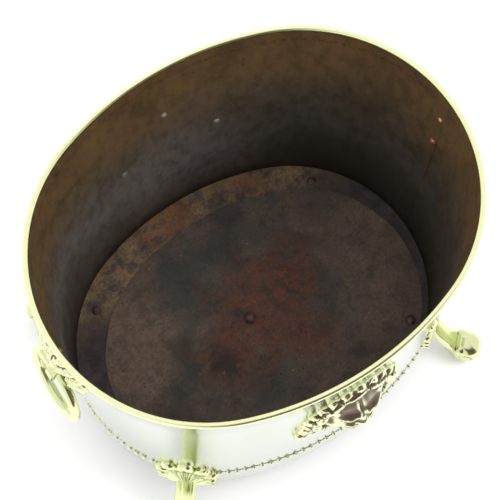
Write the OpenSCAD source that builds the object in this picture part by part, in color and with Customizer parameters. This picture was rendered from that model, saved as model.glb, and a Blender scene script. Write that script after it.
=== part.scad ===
// Oval brass wastebasket on four scrolled leaf feet.
// The wall is one sheet rolled over a rim wire and soldered round a flanged floor pan. Lion masks are
// riveted to both long sides, and a smaller mask with a swinging drop ring to each end.
//
// Origin: on the ground, under the middle of the bin. +X runs along the bin, -Y is the front, +Z is up.
// Every level curve round the bin is one four-centre oval: two end arcs about (+-end_x, 0) and two side
// arcs about (0, -+side_y). Offsets and the lean of the wall keep the centres and change the radii.

/* [Bin body] */
// Half of the inside length of the mouth
half_length = 150; // [130:1:200]
// Half of the inside width of the mouth, to within a tenth of a millimetre
half_width = 120; // [95:1:124]
// Inside depth, from the floor to the top of the rim
depth = 224; // [160:1:300]
// How far the wall leans in on each side, from the mouth to the floor
taper = 4.5; // [0:0.5:12]
// Thickness of the wall sheet
wall_t = 0.9; // [0.7:0.1:1.6]
// How far the wall runs down past the top of the floor
skirt = 5; // [4:0.5:10]
// Height of the top of the floor above the ground
floor_z = 44; // [38:1:60]
// Thickness of the floor pan's sheet
floor_t = 1.2; // [0.8:0.1:2]

/* [Rim] */
// Radius of the iron wire inside the rolled rim
wire_r = 1.2; // [0.8:0.1:3]
// Width of the slit where the roll's edge stops beside the wall
roll_slit = 0.4; // [0.2:0.1:0.8]

/* [Beaded strip] */
// Height of the strip's middle above the floor
band_up = 32; // [20:1:60]
// Radius of the half-round strip
band_r = 2.7; // [1.5:0.1:4]

/* [Floor liner] */
// Thickness of the worn liner sheet
liner_t = 0.6; // [0.4:0.1:1.2]
// How much smaller the liner is than the floor, on each side
liner_inset = 13.5; // [8:0.5:25]
// How far the liner has crept away from the middle, along +X and along -Y
liner_shift = 9; // [0:0.5:10]
// Radius of the centre rivet's shank
centre_r = 2.4; // [1.5:0.1:4]
// Distance of the centre rivet from the middle, towards the left end
centre_off = 3.5; // [0:0.5:10]

/* [Feet] */
// Direction of each foot from the long axis
foot_angle = 47; // [35:1:60]
// Half of the width of the palmette plate
fan_half_w = 22; // [16:0.5:28]
// Height of the palmette above the floor
fan_up = 56; // [45:1:80]
// Thickness of the palmette plate at its top
fan_t = 2.4; // [1.5:0.1:5]
// Width of the leg
leg_w = 18; // [12:0.5:24]
// Thickness of the leg
leg_t = 8; // [5:0.5:12]
// Radius of the rounded toe
toe_r = 13; // [9:0.5:18]
// Distance of the toe's middle outside the floor's edge
toe_out = 37.5; // [30:0.5:50]
// Distance of the foot screw inside the floor's edge
screw_in = 12; // [9:0.5:18]
// Radius of the foot screw's shank
screw_r = 2; // [1.5:0.1:3]
// Radius of the foot screw's head
screw_head_r = 3.8; // [3:0.1:6]

/* [Side masks] */
// Height of the mask's middle above the floor
side_up = 142; // [110:1:170]
// Radius of the mane's outline
side_mane_r = 39; // [30:0.5:46]
// How far the muzzle stands out from the wall
side_relief = 22; // [14:0.5:30]
// Thickness of the cast masks
cast_t = 2.6; // [1.8:0.1:4]

/* [End masks and drop rings] */
// Height of the mask's middle above the floor
end_up = 178; // [140:1:185]
// Radius of the mane's outline
end_mane_r = 26; // [22:0.5:30]
// How far the nose stands out from the wall
end_relief = 15; // [10:0.5:22]
// How far the eye's middle lies below the mask's middle
eye_down = 20; // [14:0.5:26]
// How far the eye's middle stands out from the wall
eye_out = 7.4; // [7:0.1:10]
// Radius of the ring's centre line
ring_r = 26; // [20:0.5:32]
// Radius of the ring's stock
ring_stock_r = 3.5; // [2.5:0.1:4]
// How far the resting ring leans out from the wall, in degrees
ring_lean = 9; // [4:1:15]
// How far the ring swings up from rest, in degrees
ring_swing = 110; // [60:5:120]
// Clearance round the ring's stock in its eye
eye_clearance = 0.7; // [0.5:0.05:1]

/* [Rivets] */
// Radius of the rivets' shanks
rivet_r = 1.6; // [1:0.1:2.5]
// Radius of the rivets' heads
rivet_head_r = 2.8; // [2.2:0.1:4]

/* [Hidden] */
$fn = 96;

BRASS = "#c9b45a";
OLD_BRASS = "#a38b42";
DARK_BRASS = "#5b4526";
IRON = "#4d4a47";
COPPER = "#9a6246";

band_gap = 1;         // gap between the strip's ends and the palmettes
liner_gap = 1;        // gap between the liner and the heads of the foot screws
seat = 0.05;          // gap between soldered, pressed or riveted pieces
ring_gap = 0.35;      // gap between the ring and what it rests on
hole_gap = 0.1;       // radial clearance of a shank in its hole
head_lift = 0.15;     // how far a flat-based head stands off the curved wall
past = 1;             // how far a cutting shape runs past what it cuts
shank_grip = 5;       // how deep a mask's rivet runs into its boss
shank_end = 0.5;      // gap between the end of a blind rivet and the bottom of its hole
drill = 30;           // length of the drills that clear the rivets' holes
block_in = 20;        // how far the blocks that castings are cut from reach inside the wall
block_out = 30;       // and outside it
sheet_fn = 192;       // facets of the large arcs

// The oval. The arcs meet on lines of the direction 44 : 117 : 125, whose cosine and sine have only three
// decimals, and the distance between the centres is a multiple of 0.5, so every size below is exact
join_run = 44;
join_rise = 117;
join_cos = join_run / 125;
join_sin = join_rise / 125;
centre_gap = round(2 * (half_length - half_width) / (join_cos + join_sin - 1)) / 2;
end_x = join_cos * centre_gap;
side_y = join_sin * centre_gap;
end_r = half_length - end_x;
side_r = end_r + centre_gap;
half_w = side_r - side_y;
join_a = atan2(join_rise, join_run);
wedge = 4;            // how far the wedges that trim the arcs reach, in steps of the direction

// Heights
base_z = floor_z - skirt;
roll_r = wire_r + seat + wall_t;
top_z = floor_z + depth;
roll_z = top_z - roll_r;

// How far the inside of the wall leans in at height z
function lean(z) = taper * (roll_z - z) / (roll_z - floor_z);

// Offset of the wall's outer face from the mouth's oval at height z
function face(z) = wall_t - lean(z);

// Feet
foot_on_end = foot_angle < join_a;
foot_centre = foot_on_end ? [end_x, 0] : [0, -side_y];
foot_arc_r = foot_on_end ? end_r : side_r;
foot_edge_r = foot_arc_r - taper;
lug_t = 5;
lug_w = 15;
lug_back = 7;                 // how far the lug runs past its screw, towards the middle
lug_out = 9;                  // how far the lug runs past the floor's edge, into the leg
lug_drop = 5;                 // how much lower the lug's underside is there
boss_r = 5.5;
fan_root_t = 6;               // thickness of the palmette where the leg leaves it
fan_root_up = 20;             // height of that place above the floor
fan_flare = 4;                // how much thicker the palmette is at its foot
fan_root_h = 16;              // height of the tongue below the petals
fan_span = 60;                // angle of the wall's arc that the palmette is cut from
heart_up = 14;                // height above the floor of the point that the petals spread from
petal_count = 7;
petal_step = 26;
petal_r = 5.6;
petal_fall = 0.13;            // how much shorter each petal is than the middle one, step by step
petal_root = 3.5;             // half of a petal's width at the heart
leg_up = 26;                  // height above the floor at which the leg's middle line starts
leg_lead = 3;                 // how far the line starts outside the wall
leg_dip = 4;                  // how far the line's two handles lie below the wall's foot
leg_handles = [7, 19];        // how far they lie outside the floor's edge
leg_bite = 4;                 // how far the line ends inside the toe
leg_steps = 12;
leg_cut = 60;                 // height of the cuts that keep the leg off the wall
toe_sink = 1;                 // how far the toe's round is cut off at the ground
curl_shift = 2;               // how far the curl lies outside the toe's middle
curl_r = 7;
curl_w = 14;
screw_head_h = 2;
slot_w = 1;
slot_deep = 0.8;

// Side masks
side_z = floor_z + side_up;
side_rivet_up = 19;           // the upper rivet, above the mask's middle
side_tip_x = 40;              // the side leaves' rivets
side_tip_down = 29;
side_tip_r = 5;
side_leaf_top = [24, 12];     // where the leaf's upper edge leaves the mane, across and down
side_leaf_low = [16, 30];     // and its lower edge
side_lobes = 12;              // the locks of the mane
side_lobe_r = 8;
side_brow = [12, 12];         // the brows' place, across and up
side_brow_r = 9;
side_brow_out = 2;            // how far the brows stand out from the cheeks
side_muzzle_down = 11;
side_muzzle_r = 12;
side_cheek_in = 10;           // how much smaller the cheeks are than the mane
side_cheek_low = 7;           // and how much less they stand out than the muzzle
side_margin = 8;              // how far the mask's blank runs past the mane, above and below
side_blank = 22;              // half of the angle that the blank spans

// End masks and rings
end_z = floor_z + end_up;
eye_z = end_z - eye_down;
eye_x = half_length + face(eye_z) + eye_out;
eye_bore_r = ring_stock_r + eye_clearance;
eye_wall = 2.4;               // thickness of the eye round its bore
eye_lug_r = eye_bore_r + eye_wall;
eye_w = 7;
eye_shank_r = 2.4;
end_rivet_up = 15;
end_lobes = 10;               // the locks of the mane
end_lobe_r = 6.5;
end_lobe_out = 4;             // how far their middles lie outside the mane's round
end_cheek_in = 4;             // how much smaller the face is than the mane
end_cheek_low = 4;            // and how much less it stands out than the nose
end_cheek_up = 2;
end_nose_r = 8;
end_nose_down = 3;
end_blank = 20;               // half of the angle that the mask's blank spans
eye_head_out = 0.8;           // how much wider the eye's inner head is than a rivet's
rivet_h = 1.7;
pad_r = 4.5;                  // the locks of the mane that the resting ring lies on
pad_drop = 8;                 // how far below the eye they lie
pad_down = eye_down + pad_drop;
pad_y = sqrt(ring_r * ring_r - (ring_r - pad_drop) * (ring_r - pad_drop));
pad_rim = 2;                  // how far the mask runs on round them
pad_root = 2;                 // how far they start inside the wall's face

// ---- shared shapes ----

// What lies beyond the right-hand end arc's centre, between the lines on which it meets the side arcs
module end_wedge() {
    far_x = end_x + wedge * join_run;
    polygon([[end_x, 0], [far_x, -wedge * join_rise], [far_x, wedge * join_rise]]);
}

// What lies behind the long axis, between the lines on which the back side arc meets the end arcs
module side_wedge() {
    far_x = end_x + wedge * join_run;
    polygon([[-end_x, 0], [end_x, 0], [far_x, wedge * join_rise], [-far_x, wedge * join_rise]]);
}

// The oval grown by off, as a flat outline
module oval(off) {
    for (turn = [0, 180]) rotate(turn) {
        intersection() {
            end_wedge();
            translate([end_x, 0]) circle(end_r + off, $fn = sheet_fn);
        }
        intersection() {
            side_wedge();
            translate([0, -side_y]) circle(side_r + off, $fn = sheet_fn);
        }
    }
}

// Runs a profile once round the oval. In the profile, x is the offset from the mouth and y is the height
module round_the_oval() {
    reach = wedge * join_rise;
    for (turn = [0, 180]) rotate([0, 0, turn]) {
        intersection() {
            linear_extrude(reach) end_wedge();
            translate([end_x, 0, 0]) rotate([0, 0, 180])
                rotate_extrude($fn = sheet_fn) translate([end_r, 0]) children();
        }
        intersection() {
            linear_extrude(reach) side_wedge();
            translate([0, -side_y, 0]) rotate([0, 0, -90])
                rotate_extrude($fn = sheet_fn) translate([side_r, 0]) children();
        }
    }
}

// Runs a profile along the middle of the right-hand end arc, half_a to each side
module end_sector(half_a) {
    translate([end_x, 0, 0]) rotate([0, 0, -half_a])
        rotate_extrude(angle = 2 * half_a, $fn = sheet_fn) translate([end_r, 0]) children();
}

// Runs a profile along the middle of the back side arc, half_a to each side
module side_sector(half_a) {
    translate([0, -side_y, 0]) rotate([0, 0, 90 - half_a])
        rotate_extrude(angle = 2 * half_a, $fn = sheet_fn) translate([side_r, 0]) children();
}

// Profile of a sheet that follows the wall's outer face, from z0 to z1, between two distances from it
module skin_profile(z0, z1, near, far) {
    polygon([[face(z0) + near, z0], [face(z0) + far, z0], [face(z1) + far, z1], [face(z1) + near, z1]]);
}

// What lies less than off outside the wall near one arc, from z0 to z1, about the arc's centre
module wall_plug(arc_r, z0, z1, off = seat) {
    rotate([0, 0, 180]) rotate_extrude($fn = sheet_fn)
        polygon([[0, z0], [arc_r + face(z0) + off, z0], [arc_r + face(z1) + off, z1], [0, z1]]);
}

// A sphere whose poles lie in and out of the bin
module ball(r) {
    rotate([0, 90, 0]) sphere(r);
}

// A low dome of base radius r and height h, standing on z = 0
module dome(r, h) {
    ball_r = (r * r + h * h) / (2 * h);
    intersection() {
        translate([0, 0, h - ball_r]) sphere(ball_r);
        cylinder(r = r + past, h = h + past);
    }
}

// A rivet along +Z: its domed head below z = 0, its shank up to z = length
module rivet(length) {
    translate([0, 0, -head_lift]) {
        mirror([0, 0, 1]) dome(rivet_head_r, rivet_h);
        cylinder(r = rivet_r, h = length + head_lift);
    }
}

// Frames: x' points out of the bin, y' runs along the wall
module at_foot(x_side, y_side) {
    turn = x_side > 0 ? y_side * foot_angle : 180 - y_side * foot_angle;
    translate([x_side * foot_centre[0], y_side * foot_centre[1], 0]) rotate([0, 0, turn]) children();
}

module at_end(x_side) {
    rotate([0, 0, x_side > 0 ? 0 : 180]) children();
}

module at_side(y_side) {
    rotate([0, 0, y_side > 0 ? 90 : -90]) children();
}

// Extrudes an outline drawn as seen from outside (x along the wall, y up) from x' = from to x' = to
module facing_out(from, to) {
    translate([from, 0, 0]) rotate([90, 0, 90]) linear_extrude(to - from) children();
}

// ---- body ----

module wall_profile() {
    difference() {
        union() {
            polygon([[-lean(base_z), base_z], [face(base_z), base_z], [wall_t, roll_z], [0, roll_z]]);
            translate([roll_r, roll_z]) circle(roll_r);
        }
        translate([roll_r, roll_z]) circle(wire_r + seat);
        translate([wall_t, roll_z - roll_r - past]) square([roll_slit, roll_r + past - wire_r / 2]);
    }
}

module wall_shell() {
    color(BRASS) difference() {
        round_the_oval() wall_profile();
        side_rivet_places() cylinder(r = rivet_r + hole_gap, h = drill, center = true);
        end_rivet_places() cylinder(r = rivet_r + hole_gap, h = drill, center = true);
        eye_places() cylinder(r = eye_shank_r + hole_gap, h = drill, center = true);
    }
}

module rim_wire() {
    color(IRON) round_the_oval() translate([roll_r, roll_z]) circle(wire_r, $fn = 32);
}

module beaded_band() {
    z = floor_z + band_up;
    color(BRASS) difference() {
        round_the_oval() intersection() {
            translate([face(z), z]) circle(band_r);
            skin_profile(z - 2 * band_r, z + 2 * band_r, seat, 2 * band_r);
        }
        for (x_side = [-1, 1], y_side = [-1, 1]) at_foot(x_side, y_side)
            translate([foot_arc_r, 0, z])
                cube([block_out, 2 * (fan_half_w + band_gap), 4 * band_r], center = true);
    }
}

// ---- floor ----

module floor_pan() {
    flange = -wall_t - seat;
    color(DARK_BRASS) difference() {
        union() {
            translate([0, 0, floor_z - floor_t])
                linear_extrude(floor_t) oval(-taper - seat - floor_t / 2);
            round_the_oval() skin_profile(base_z, floor_z, flange - floor_t, flange);
        }
        foot_screw_places() cylinder(r = screw_r + hole_gap, h = 4 * skirt, center = true);
        centre_place() cylinder(r = centre_r + hole_gap, h = 4 * skirt, center = true);
    }
}

module floor_liner() {
    color(COPPER) difference() {
        translate([liner_shift, -liner_shift, floor_z])
            linear_extrude(liner_t) oval(-taper - liner_inset);
        foot_screw_places() cylinder(r = screw_head_r + liner_gap, h = 4 * liner_t, center = true);
        centre_place() cylinder(r = centre_r + hole_gap, h = 4 * liner_t, center = true);
    }
}

module centre_place() {
    translate([-centre_off, 0, floor_z]) children();
}

module centre_rivet() {
    grip = liner_t + floor_t;
    color(COPPER) centre_place() {
        translate([0, 0, liner_t]) dome(2 * centre_r, centre_r);
        translate([0, 0, liner_t - grip]) cylinder(r = centre_r, h = grip);
        translate([0, 0, liner_t - grip]) mirror([0, 0, 1]) dome(1.8 * centre_r, 0.6 * centre_r);
    }
}

// ---- feet ----

// A point and its normal on the leg's middle line, in the side view, at t from 0 (top) to 1 (toe)
leg_points = [[face(floor_z + leg_up) + taper + leg_lead, floor_z + leg_up],
              [leg_handles[0], base_z - leg_dip], [leg_handles[1], base_z - leg_dip],
              [toe_out - toe_r + leg_bite, toe_r]];
function bezier(p, t) = (1 - t) ^ 3 * p[0] + 3 * (1 - t) ^ 2 * t * p[1] + 3 * (1 - t) * t ^ 2 * p[2]
                        + t ^ 3 * p[3];
function slope(p, t) = 3 * (1 - t) ^ 2 * (p[1] - p[0]) + 6 * (1 - t) * t * (p[2] - p[1])
                       + 3 * t ^ 2 * (p[3] - p[2]);
function beside(p, t, d) = bezier(p, t) + d * [slope(p, t)[1], -slope(p, t)[0]] / norm(slope(p, t));

module leg_side_view() {
    polygon([for (i = [0 : leg_steps]) beside(leg_points, i / leg_steps, -leg_t / 2),
             for (i = [leg_steps : -1 : 0]) beside(leg_points, i / leg_steps, leg_t / 2)]);
}

// Extrudes a side view (x out, y up) to width w, centred on the foot
module side_on(w) {
    translate([0, w / 2, 0]) rotate([90, 0, 0]) linear_extrude(w) children();
}

module palmette_outline() {
    reach = fan_up - petal_r - heart_up;
    translate([0, floor_z + heart_up]) {
        circle(fan_half_w - 2 * petal_r);
        for (i = [-(petal_count - 1) / 2 : (petal_count - 1) / 2]) {
            out = (1 - petal_fall * abs(i)) * reach;
            rotate(i * petal_step) {
                translate([0, out]) circle(petal_r);
                polygon([[-petal_root, 0], [petal_root, 0], [petal_r, out], [-petal_r, out]]);
            }
        }
    }
    translate([-leg_w / 2, base_z]) square([leg_w, fan_root_h]);
}

module foot() {
    fan_top = floor_z + fan_up + past;
    difference() {
        union() {
            intersection() {
                rotate([0, 0, -fan_span / 2])
                    rotate_extrude(angle = fan_span, $fn = sheet_fn) translate([foot_arc_r, 0])
                    polygon([[face(base_z) + seat, base_z], [face(base_z) + fan_root_t + fan_flare, base_z],
                             [face(floor_z + fan_root_up) + fan_root_t, floor_z + fan_root_up],
                             [face(fan_top) + fan_t, fan_top], [face(fan_top) + seat, fan_top]]);
                facing_out(foot_edge_r - block_in, foot_edge_r + block_out) intersection() {
                    palmette_outline();
                    translate([-fan_half_w, 0]) square([2 * fan_half_w, fan_top]);
                }
            }
            translate([foot_edge_r, 0, 0]) {
                difference() {
                    side_on(leg_w) leg_side_view();
                    translate([-block_in, -leg_w, base_z]) cube([block_in, 2 * leg_w, leg_cut]);
                    translate([-foot_edge_r, 0, 0]) wall_plug(foot_arc_r, base_z, floor_z + leg_cut);
                }
                side_on(lug_w) polygon([[-screw_in - lug_back, base_z - lug_t],
                                        [lug_out, base_z - lug_t - lug_drop],
                                        [lug_out, base_z], [-screw_in - lug_back, base_z]]);
                translate([-screw_in, 0, base_z - lug_t]) cylinder(r = boss_r, h = skirt - floor_t + lug_t);
                toe();
            }
        }
        translate([foot_edge_r - screw_in, 0, base_z - 3 * lug_t])
            cylinder(r = screw_r + hole_gap, h = 5 * lug_t);
    }
}

module toe() {
    middle_z = toe_r - toe_sink;
    intersection() {
        union() {
            intersection() {
                translate([toe_out, 0, middle_z]) rotate([90, 0, 0])
                    cylinder(r = toe_r, h = 4 * toe_r, center = true);
                translate([toe_out, 0, 0]) cylinder(r = toe_r, h = 4 * toe_r);
            }
            translate([toe_out + curl_shift, 0, middle_z + toe_r - curl_r / 2]) rotate([90, 0, 0])
                cylinder(r = curl_r, h = curl_w, center = true);
        }
        translate([toe_out, 0, 2 * toe_r]) cube(4 * toe_r, center = true);
    }
}

module foot_screw_places() {
    for (x_side = [-1, 1], y_side = [-1, 1]) at_foot(x_side, y_side)
        translate([foot_edge_r - screw_in, 0, floor_z]) children();
}

module foot_screws() {
    length = skirt + lug_t;
    color(COPPER) foot_screw_places() {
        difference() {
            dome(screw_head_r, screw_head_h);
            translate([0, 0, screw_head_h])
                cube([2 * screw_head_r + past, slot_w, 2 * slot_deep], center = true);
        }
        translate([0, 0, -length]) cylinder(r = screw_r, h = length);
    }
}

// ---- side masks ----

// Places the six rivets of the side masks: +Z of the child points out of the bin
module side_rivet_places() {
    for (y_side = [-1, 1]) at_side(y_side) side_rivet_row() children();
}

module side_rivet_row() {
    upright(0, side_z + side_rivet_up) children();
    for (x = [-side_tip_x, side_tip_x]) upright(x, side_z - side_tip_down) children();
}

// Stands its children on the inside of the wall's side arc, x along the wall and z up
module upright(x, z) {
    inner_r = side_r - lean(z);
    translate([-side_y, 0, z]) rotate([0, 0, asin(x / inner_r)]) translate([inner_r, 0, 0])
        rotate([0, 90, 0]) children();
}

module side_mask_outline() {
    circle(side_mane_r - side_lobe_r + 1);
    for (i = [0 : side_lobes - 1]) rotate(i * 360 / side_lobes)
        translate([side_mane_r - side_lobe_r, 0]) circle(side_lobe_r);
    for (x = [-1, 1]) {
        translate([x * side_tip_x, -side_tip_down]) circle(side_tip_r);
        polygon([[x * side_leaf_top[0], -side_leaf_top[1]], [x * (side_tip_x + 3), -side_tip_down + 4],
                 [x * (side_tip_x - 4), -side_tip_down - 3], [x * side_leaf_low[0], -side_leaf_low[1]]]);
    }
}

// The lion's face as three masses, shrunk by inset for the hollow behind them
module side_face(inset) {
    face_x = half_w + face(side_z);
    rise = side_relief - side_cheek_low;
    base_r = side_mane_r - side_cheek_in;
    ball_r = (base_r * base_r + rise * rise) / (2 * rise);
    translate([face_x + rise - ball_r, 0, side_z]) ball(ball_r - inset);
    translate([face_x + side_relief - side_muzzle_r, 0, side_z - side_muzzle_down])
        ball(side_muzzle_r - inset);
    for (y = [-side_brow[0], side_brow[0]])
        translate([face_x + rise - side_brow_r + side_brow_out, y, side_z + side_brow[1]])
            ball(side_brow_r - inset);
}

module side_mask() {
    low = side_z - side_mane_r - side_margin;
    high = side_z + side_mane_r + side_margin;
    out = half_w + face(side_z);
    difference() {
        union() {
            intersection() {
                mask_sheet_side() skin_profile(low, high, seat, cast_t);
                facing_out(out - block_in, out + block_out) translate([0, side_z]) side_mask_outline();
            }
            difference() {
                side_face(0);
                translate([-side_y, 0, 0]) wall_plug(side_r, low - past, high + past, cast_t / 2);
            }
        }
        difference() {
            side_face(cast_t);
            upright(0, side_z + side_rivet_up) cylinder(r = rivet_r + cast_t, h = drill);
        }
        side_rivet_row() cylinder(r = rivet_r + hole_gap, h = wall_t + shank_grip);
    }
}

module mask_sheet_side() {
    rotate([0, 0, -90]) side_sector(min(side_blank, 89 - join_a)) children();
}

module ornament(y_side) {
    color(OLD_BRASS) at_side(y_side) side_mask();
}

module ornament_rivets() {
    color(COPPER) for (y_side = [-1, 1]) at_side(y_side) {
        upright(0, side_z + side_rivet_up) rivet(wall_t + shank_grip - shank_end);
        for (x = [-side_tip_x, side_tip_x]) upright(x, side_z - side_tip_down) rivet(wall_t + cast_t);
    }
}

// ---- end masks and drop rings ----

// Stands its children on the inside of the wall at a bin's end: +Z of the child points out of the bin
module end_rivet_places() {
    for (x_side = [-1, 1]) at_end(x_side) end_upright(end_z + end_rivet_up) children();
}

module eye_places() {
    for (x_side = [-1, 1]) at_end(x_side) end_upright(eye_z) children();
}

module end_upright(z) {
    translate([half_length - lean(z), 0, z]) rotate([0, 90, 0]) children();
}

module end_mask_outline() {
    circle(end_mane_r - end_lobe_r + 2);
    for (i = [0 : end_lobes - 1]) rotate(90 + i * 360 / end_lobes)
        translate([end_mane_r - end_lobe_r + end_lobe_out, 0]) circle(end_lobe_r);
    translate([-pad_y, -pad_down - pad_r]) square([2 * pad_y, 16]);
    for (y = [-pad_y, pad_y]) translate([y, -pad_down]) circle(pad_r + pad_rim);
}

module end_face(inset) {
    face_x = half_length + face(end_z);
    rise = end_relief - end_cheek_low;
    base_r = end_mane_r - end_cheek_in;
    ball_r = (base_r * base_r + rise * rise) / (2 * rise);
    translate([face_x + rise - ball_r, 0, end_z + end_cheek_up]) ball(ball_r - inset);
    translate([face_x + end_relief - end_nose_r, 0, end_z - end_nose_down]) ball(end_nose_r - inset);
}

// Turns its children from hanging straight down to the ring's resting lean and then by swung
module ring_at(swung) {
    rotate([0, -ring_lean - swung, 0]) children();
}

// The ring hanging straight down from the eye's middle
module ring_shape(stock_r) {
    translate([0, 0, -ring_r]) rotate([0, 90, 0]) rotate_extrude()
        translate([ring_r, 0]) circle(stock_r);
}

module end_mask() {
    low = end_z - max(end_mane_r + end_lobe_out, pad_down + pad_r + pad_rim) - past;
    high = end_z + end_mane_r + end_lobe_out + 3 * past;
    out = half_length + face(end_z);
    difference() {
        union() {
            intersection() {
                end_sector(end_blank) skin_profile(low, high, seat, cast_t);
                facing_out(out - block_in, out + block_out) translate([0, end_z]) end_mask_outline();
            }
            difference() {
                union() {
                    end_face(0);
                    cheek_pads();
                }
                translate([end_x, 0, 0]) wall_plug(end_r, low - past, high + past, cast_t / 2);
            }
        }
        difference() {
            end_face(cast_t);
            end_upright(end_z + end_rivet_up) cylinder(r = rivet_r + cast_t, h = drill);
        }
        end_upright(end_z + end_rivet_up) cylinder(r = rivet_r + hole_gap, h = wall_t + shank_grip);
        end_upright(eye_z) cylinder(r = eye_shank_r + hole_gap, h = drill);
        translate([eye_x, 0, eye_z]) rotate([90, 0, 0])
            cylinder(r = eye_lug_r + ring_gap, h = eye_w + 2 * ring_gap, center = true);
        translate([eye_x, 0, eye_z]) ring_at(0) ring_shape(ring_stock_r + ring_gap);
    }
}

// Two locks of the mane that stand out far enough for the ring to lie on
module cheek_pads() {
    for (y = [-pad_y, pad_y]) translate([half_length + face(eye_z) - pad_root, y, end_z - pad_down])
        rotate([0, 90, 0]) cylinder(r = pad_r, h = eye_out + pad_root);
}

module handle_mask(x_side) {
    color(OLD_BRASS) at_end(x_side) end_mask();
}

module handle_rivets() {
    color(COPPER) end_rivet_places() rivet(wall_t + shank_grip - shank_end);
}

module ring_eye(x_side) {
    wall_out = lean(eye_z) - half_length;
    color(OLD_BRASS) at_end(x_side) difference() {
        union() {
            translate([eye_x, 0, eye_z]) rotate([90, 0, 0]) cylinder(r = eye_lug_r, h = eye_w, center = true);
            end_upright(eye_z) {
                translate([0, 0, -head_lift]) {
                    mirror([0, 0, 1]) dome(rivet_head_r + eye_head_out, rivet_h);
                    cylinder(r = eye_shank_r, h = eye_x + wall_out - eye_bore_r - shank_end);
                }
            }
        }
        translate([eye_x, 0, eye_z]) rotate([90, 0, 0])
            cylinder(r = eye_bore_r, h = eye_w + past, center = true);
    }
}

module ring(x_side) {
    color(BRASS) at_end(x_side) translate([eye_x, 0, eye_z]) ring_at(0) ring_shape(ring_stock_r);
}

wall_shell();
rim_wire();
beaded_band();
floor_pan();
floor_liner();
centre_rivet();
color(BRASS) at_foot(-1, -1) foot();  // foot_front_left
color(BRASS) at_foot(1, -1) foot();  // foot_front_right
color(BRASS) at_foot(-1, 1) foot();  // foot_back_left
color(BRASS) at_foot(1, 1) foot();  // foot_back_right
foot_screws();
ornament(-1);  // ornament_front
ornament(1);  // ornament_back
ornament_rivets();
handle_mask(-1);  // handle_mask_left
handle_mask(1);  // handle_mask_right
handle_rivets();
ring_eye(-1);  // ring_eye_left
ring_eye(1);  // ring_eye_right
ring(-1);  // ring_left
ring(1);  // ring_right
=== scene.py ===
import logging
import math
from collections.abc import Callable, Sequence
from dataclasses import dataclass
from enum import Enum

import bmesh
import bpy
from mathutils import Matrix, Vector, noise

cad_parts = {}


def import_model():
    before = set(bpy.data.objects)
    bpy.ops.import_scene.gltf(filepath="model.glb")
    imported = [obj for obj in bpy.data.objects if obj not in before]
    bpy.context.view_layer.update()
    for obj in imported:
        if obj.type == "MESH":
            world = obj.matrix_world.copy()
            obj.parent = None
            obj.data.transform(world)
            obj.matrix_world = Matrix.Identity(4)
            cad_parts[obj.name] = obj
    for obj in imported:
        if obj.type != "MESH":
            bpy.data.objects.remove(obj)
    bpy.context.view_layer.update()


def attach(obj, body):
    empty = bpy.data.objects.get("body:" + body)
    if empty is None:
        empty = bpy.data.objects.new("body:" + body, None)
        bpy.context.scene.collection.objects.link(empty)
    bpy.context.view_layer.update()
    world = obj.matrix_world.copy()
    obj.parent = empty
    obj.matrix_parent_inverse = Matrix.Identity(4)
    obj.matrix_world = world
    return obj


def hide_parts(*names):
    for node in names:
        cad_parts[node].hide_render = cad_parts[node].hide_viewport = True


log = logging.getLogger("wastebasket")

MM = 0.001
Point = tuple[float, float]
Colour = tuple[float, float, float]
Test = Callable[[Vector, Vector], bool]
Spot = tuple[float, float, float, float]


def clamp(value: float) -> float:
    """The value held between 0 and 1."""
    return min(1.0, max(0.0, value))


def beyond(value: float, start: float, span: float) -> float:
    """How many spans a value lies past a start, or 0 before it."""
    return max(0.0, (value - start) / span)


def bell(value: float, width: float) -> float:
    """1 at zero, falling off on both sides over the given width."""
    return math.exp(-((value / width) ** 2))


def bulged(value: float, power: float) -> float:
    """A value raised to a power, with its sign kept."""
    return math.copysign(abs(value) ** power, value)


class Slot(Enum):
    """The record's material slots; no piece here takes its finish from them."""

    POLISHED = "brass_polished"
    CAST = "brass_cast"
    LINER = "liner_sheet"


# ---- the bin's lines ----


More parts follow.
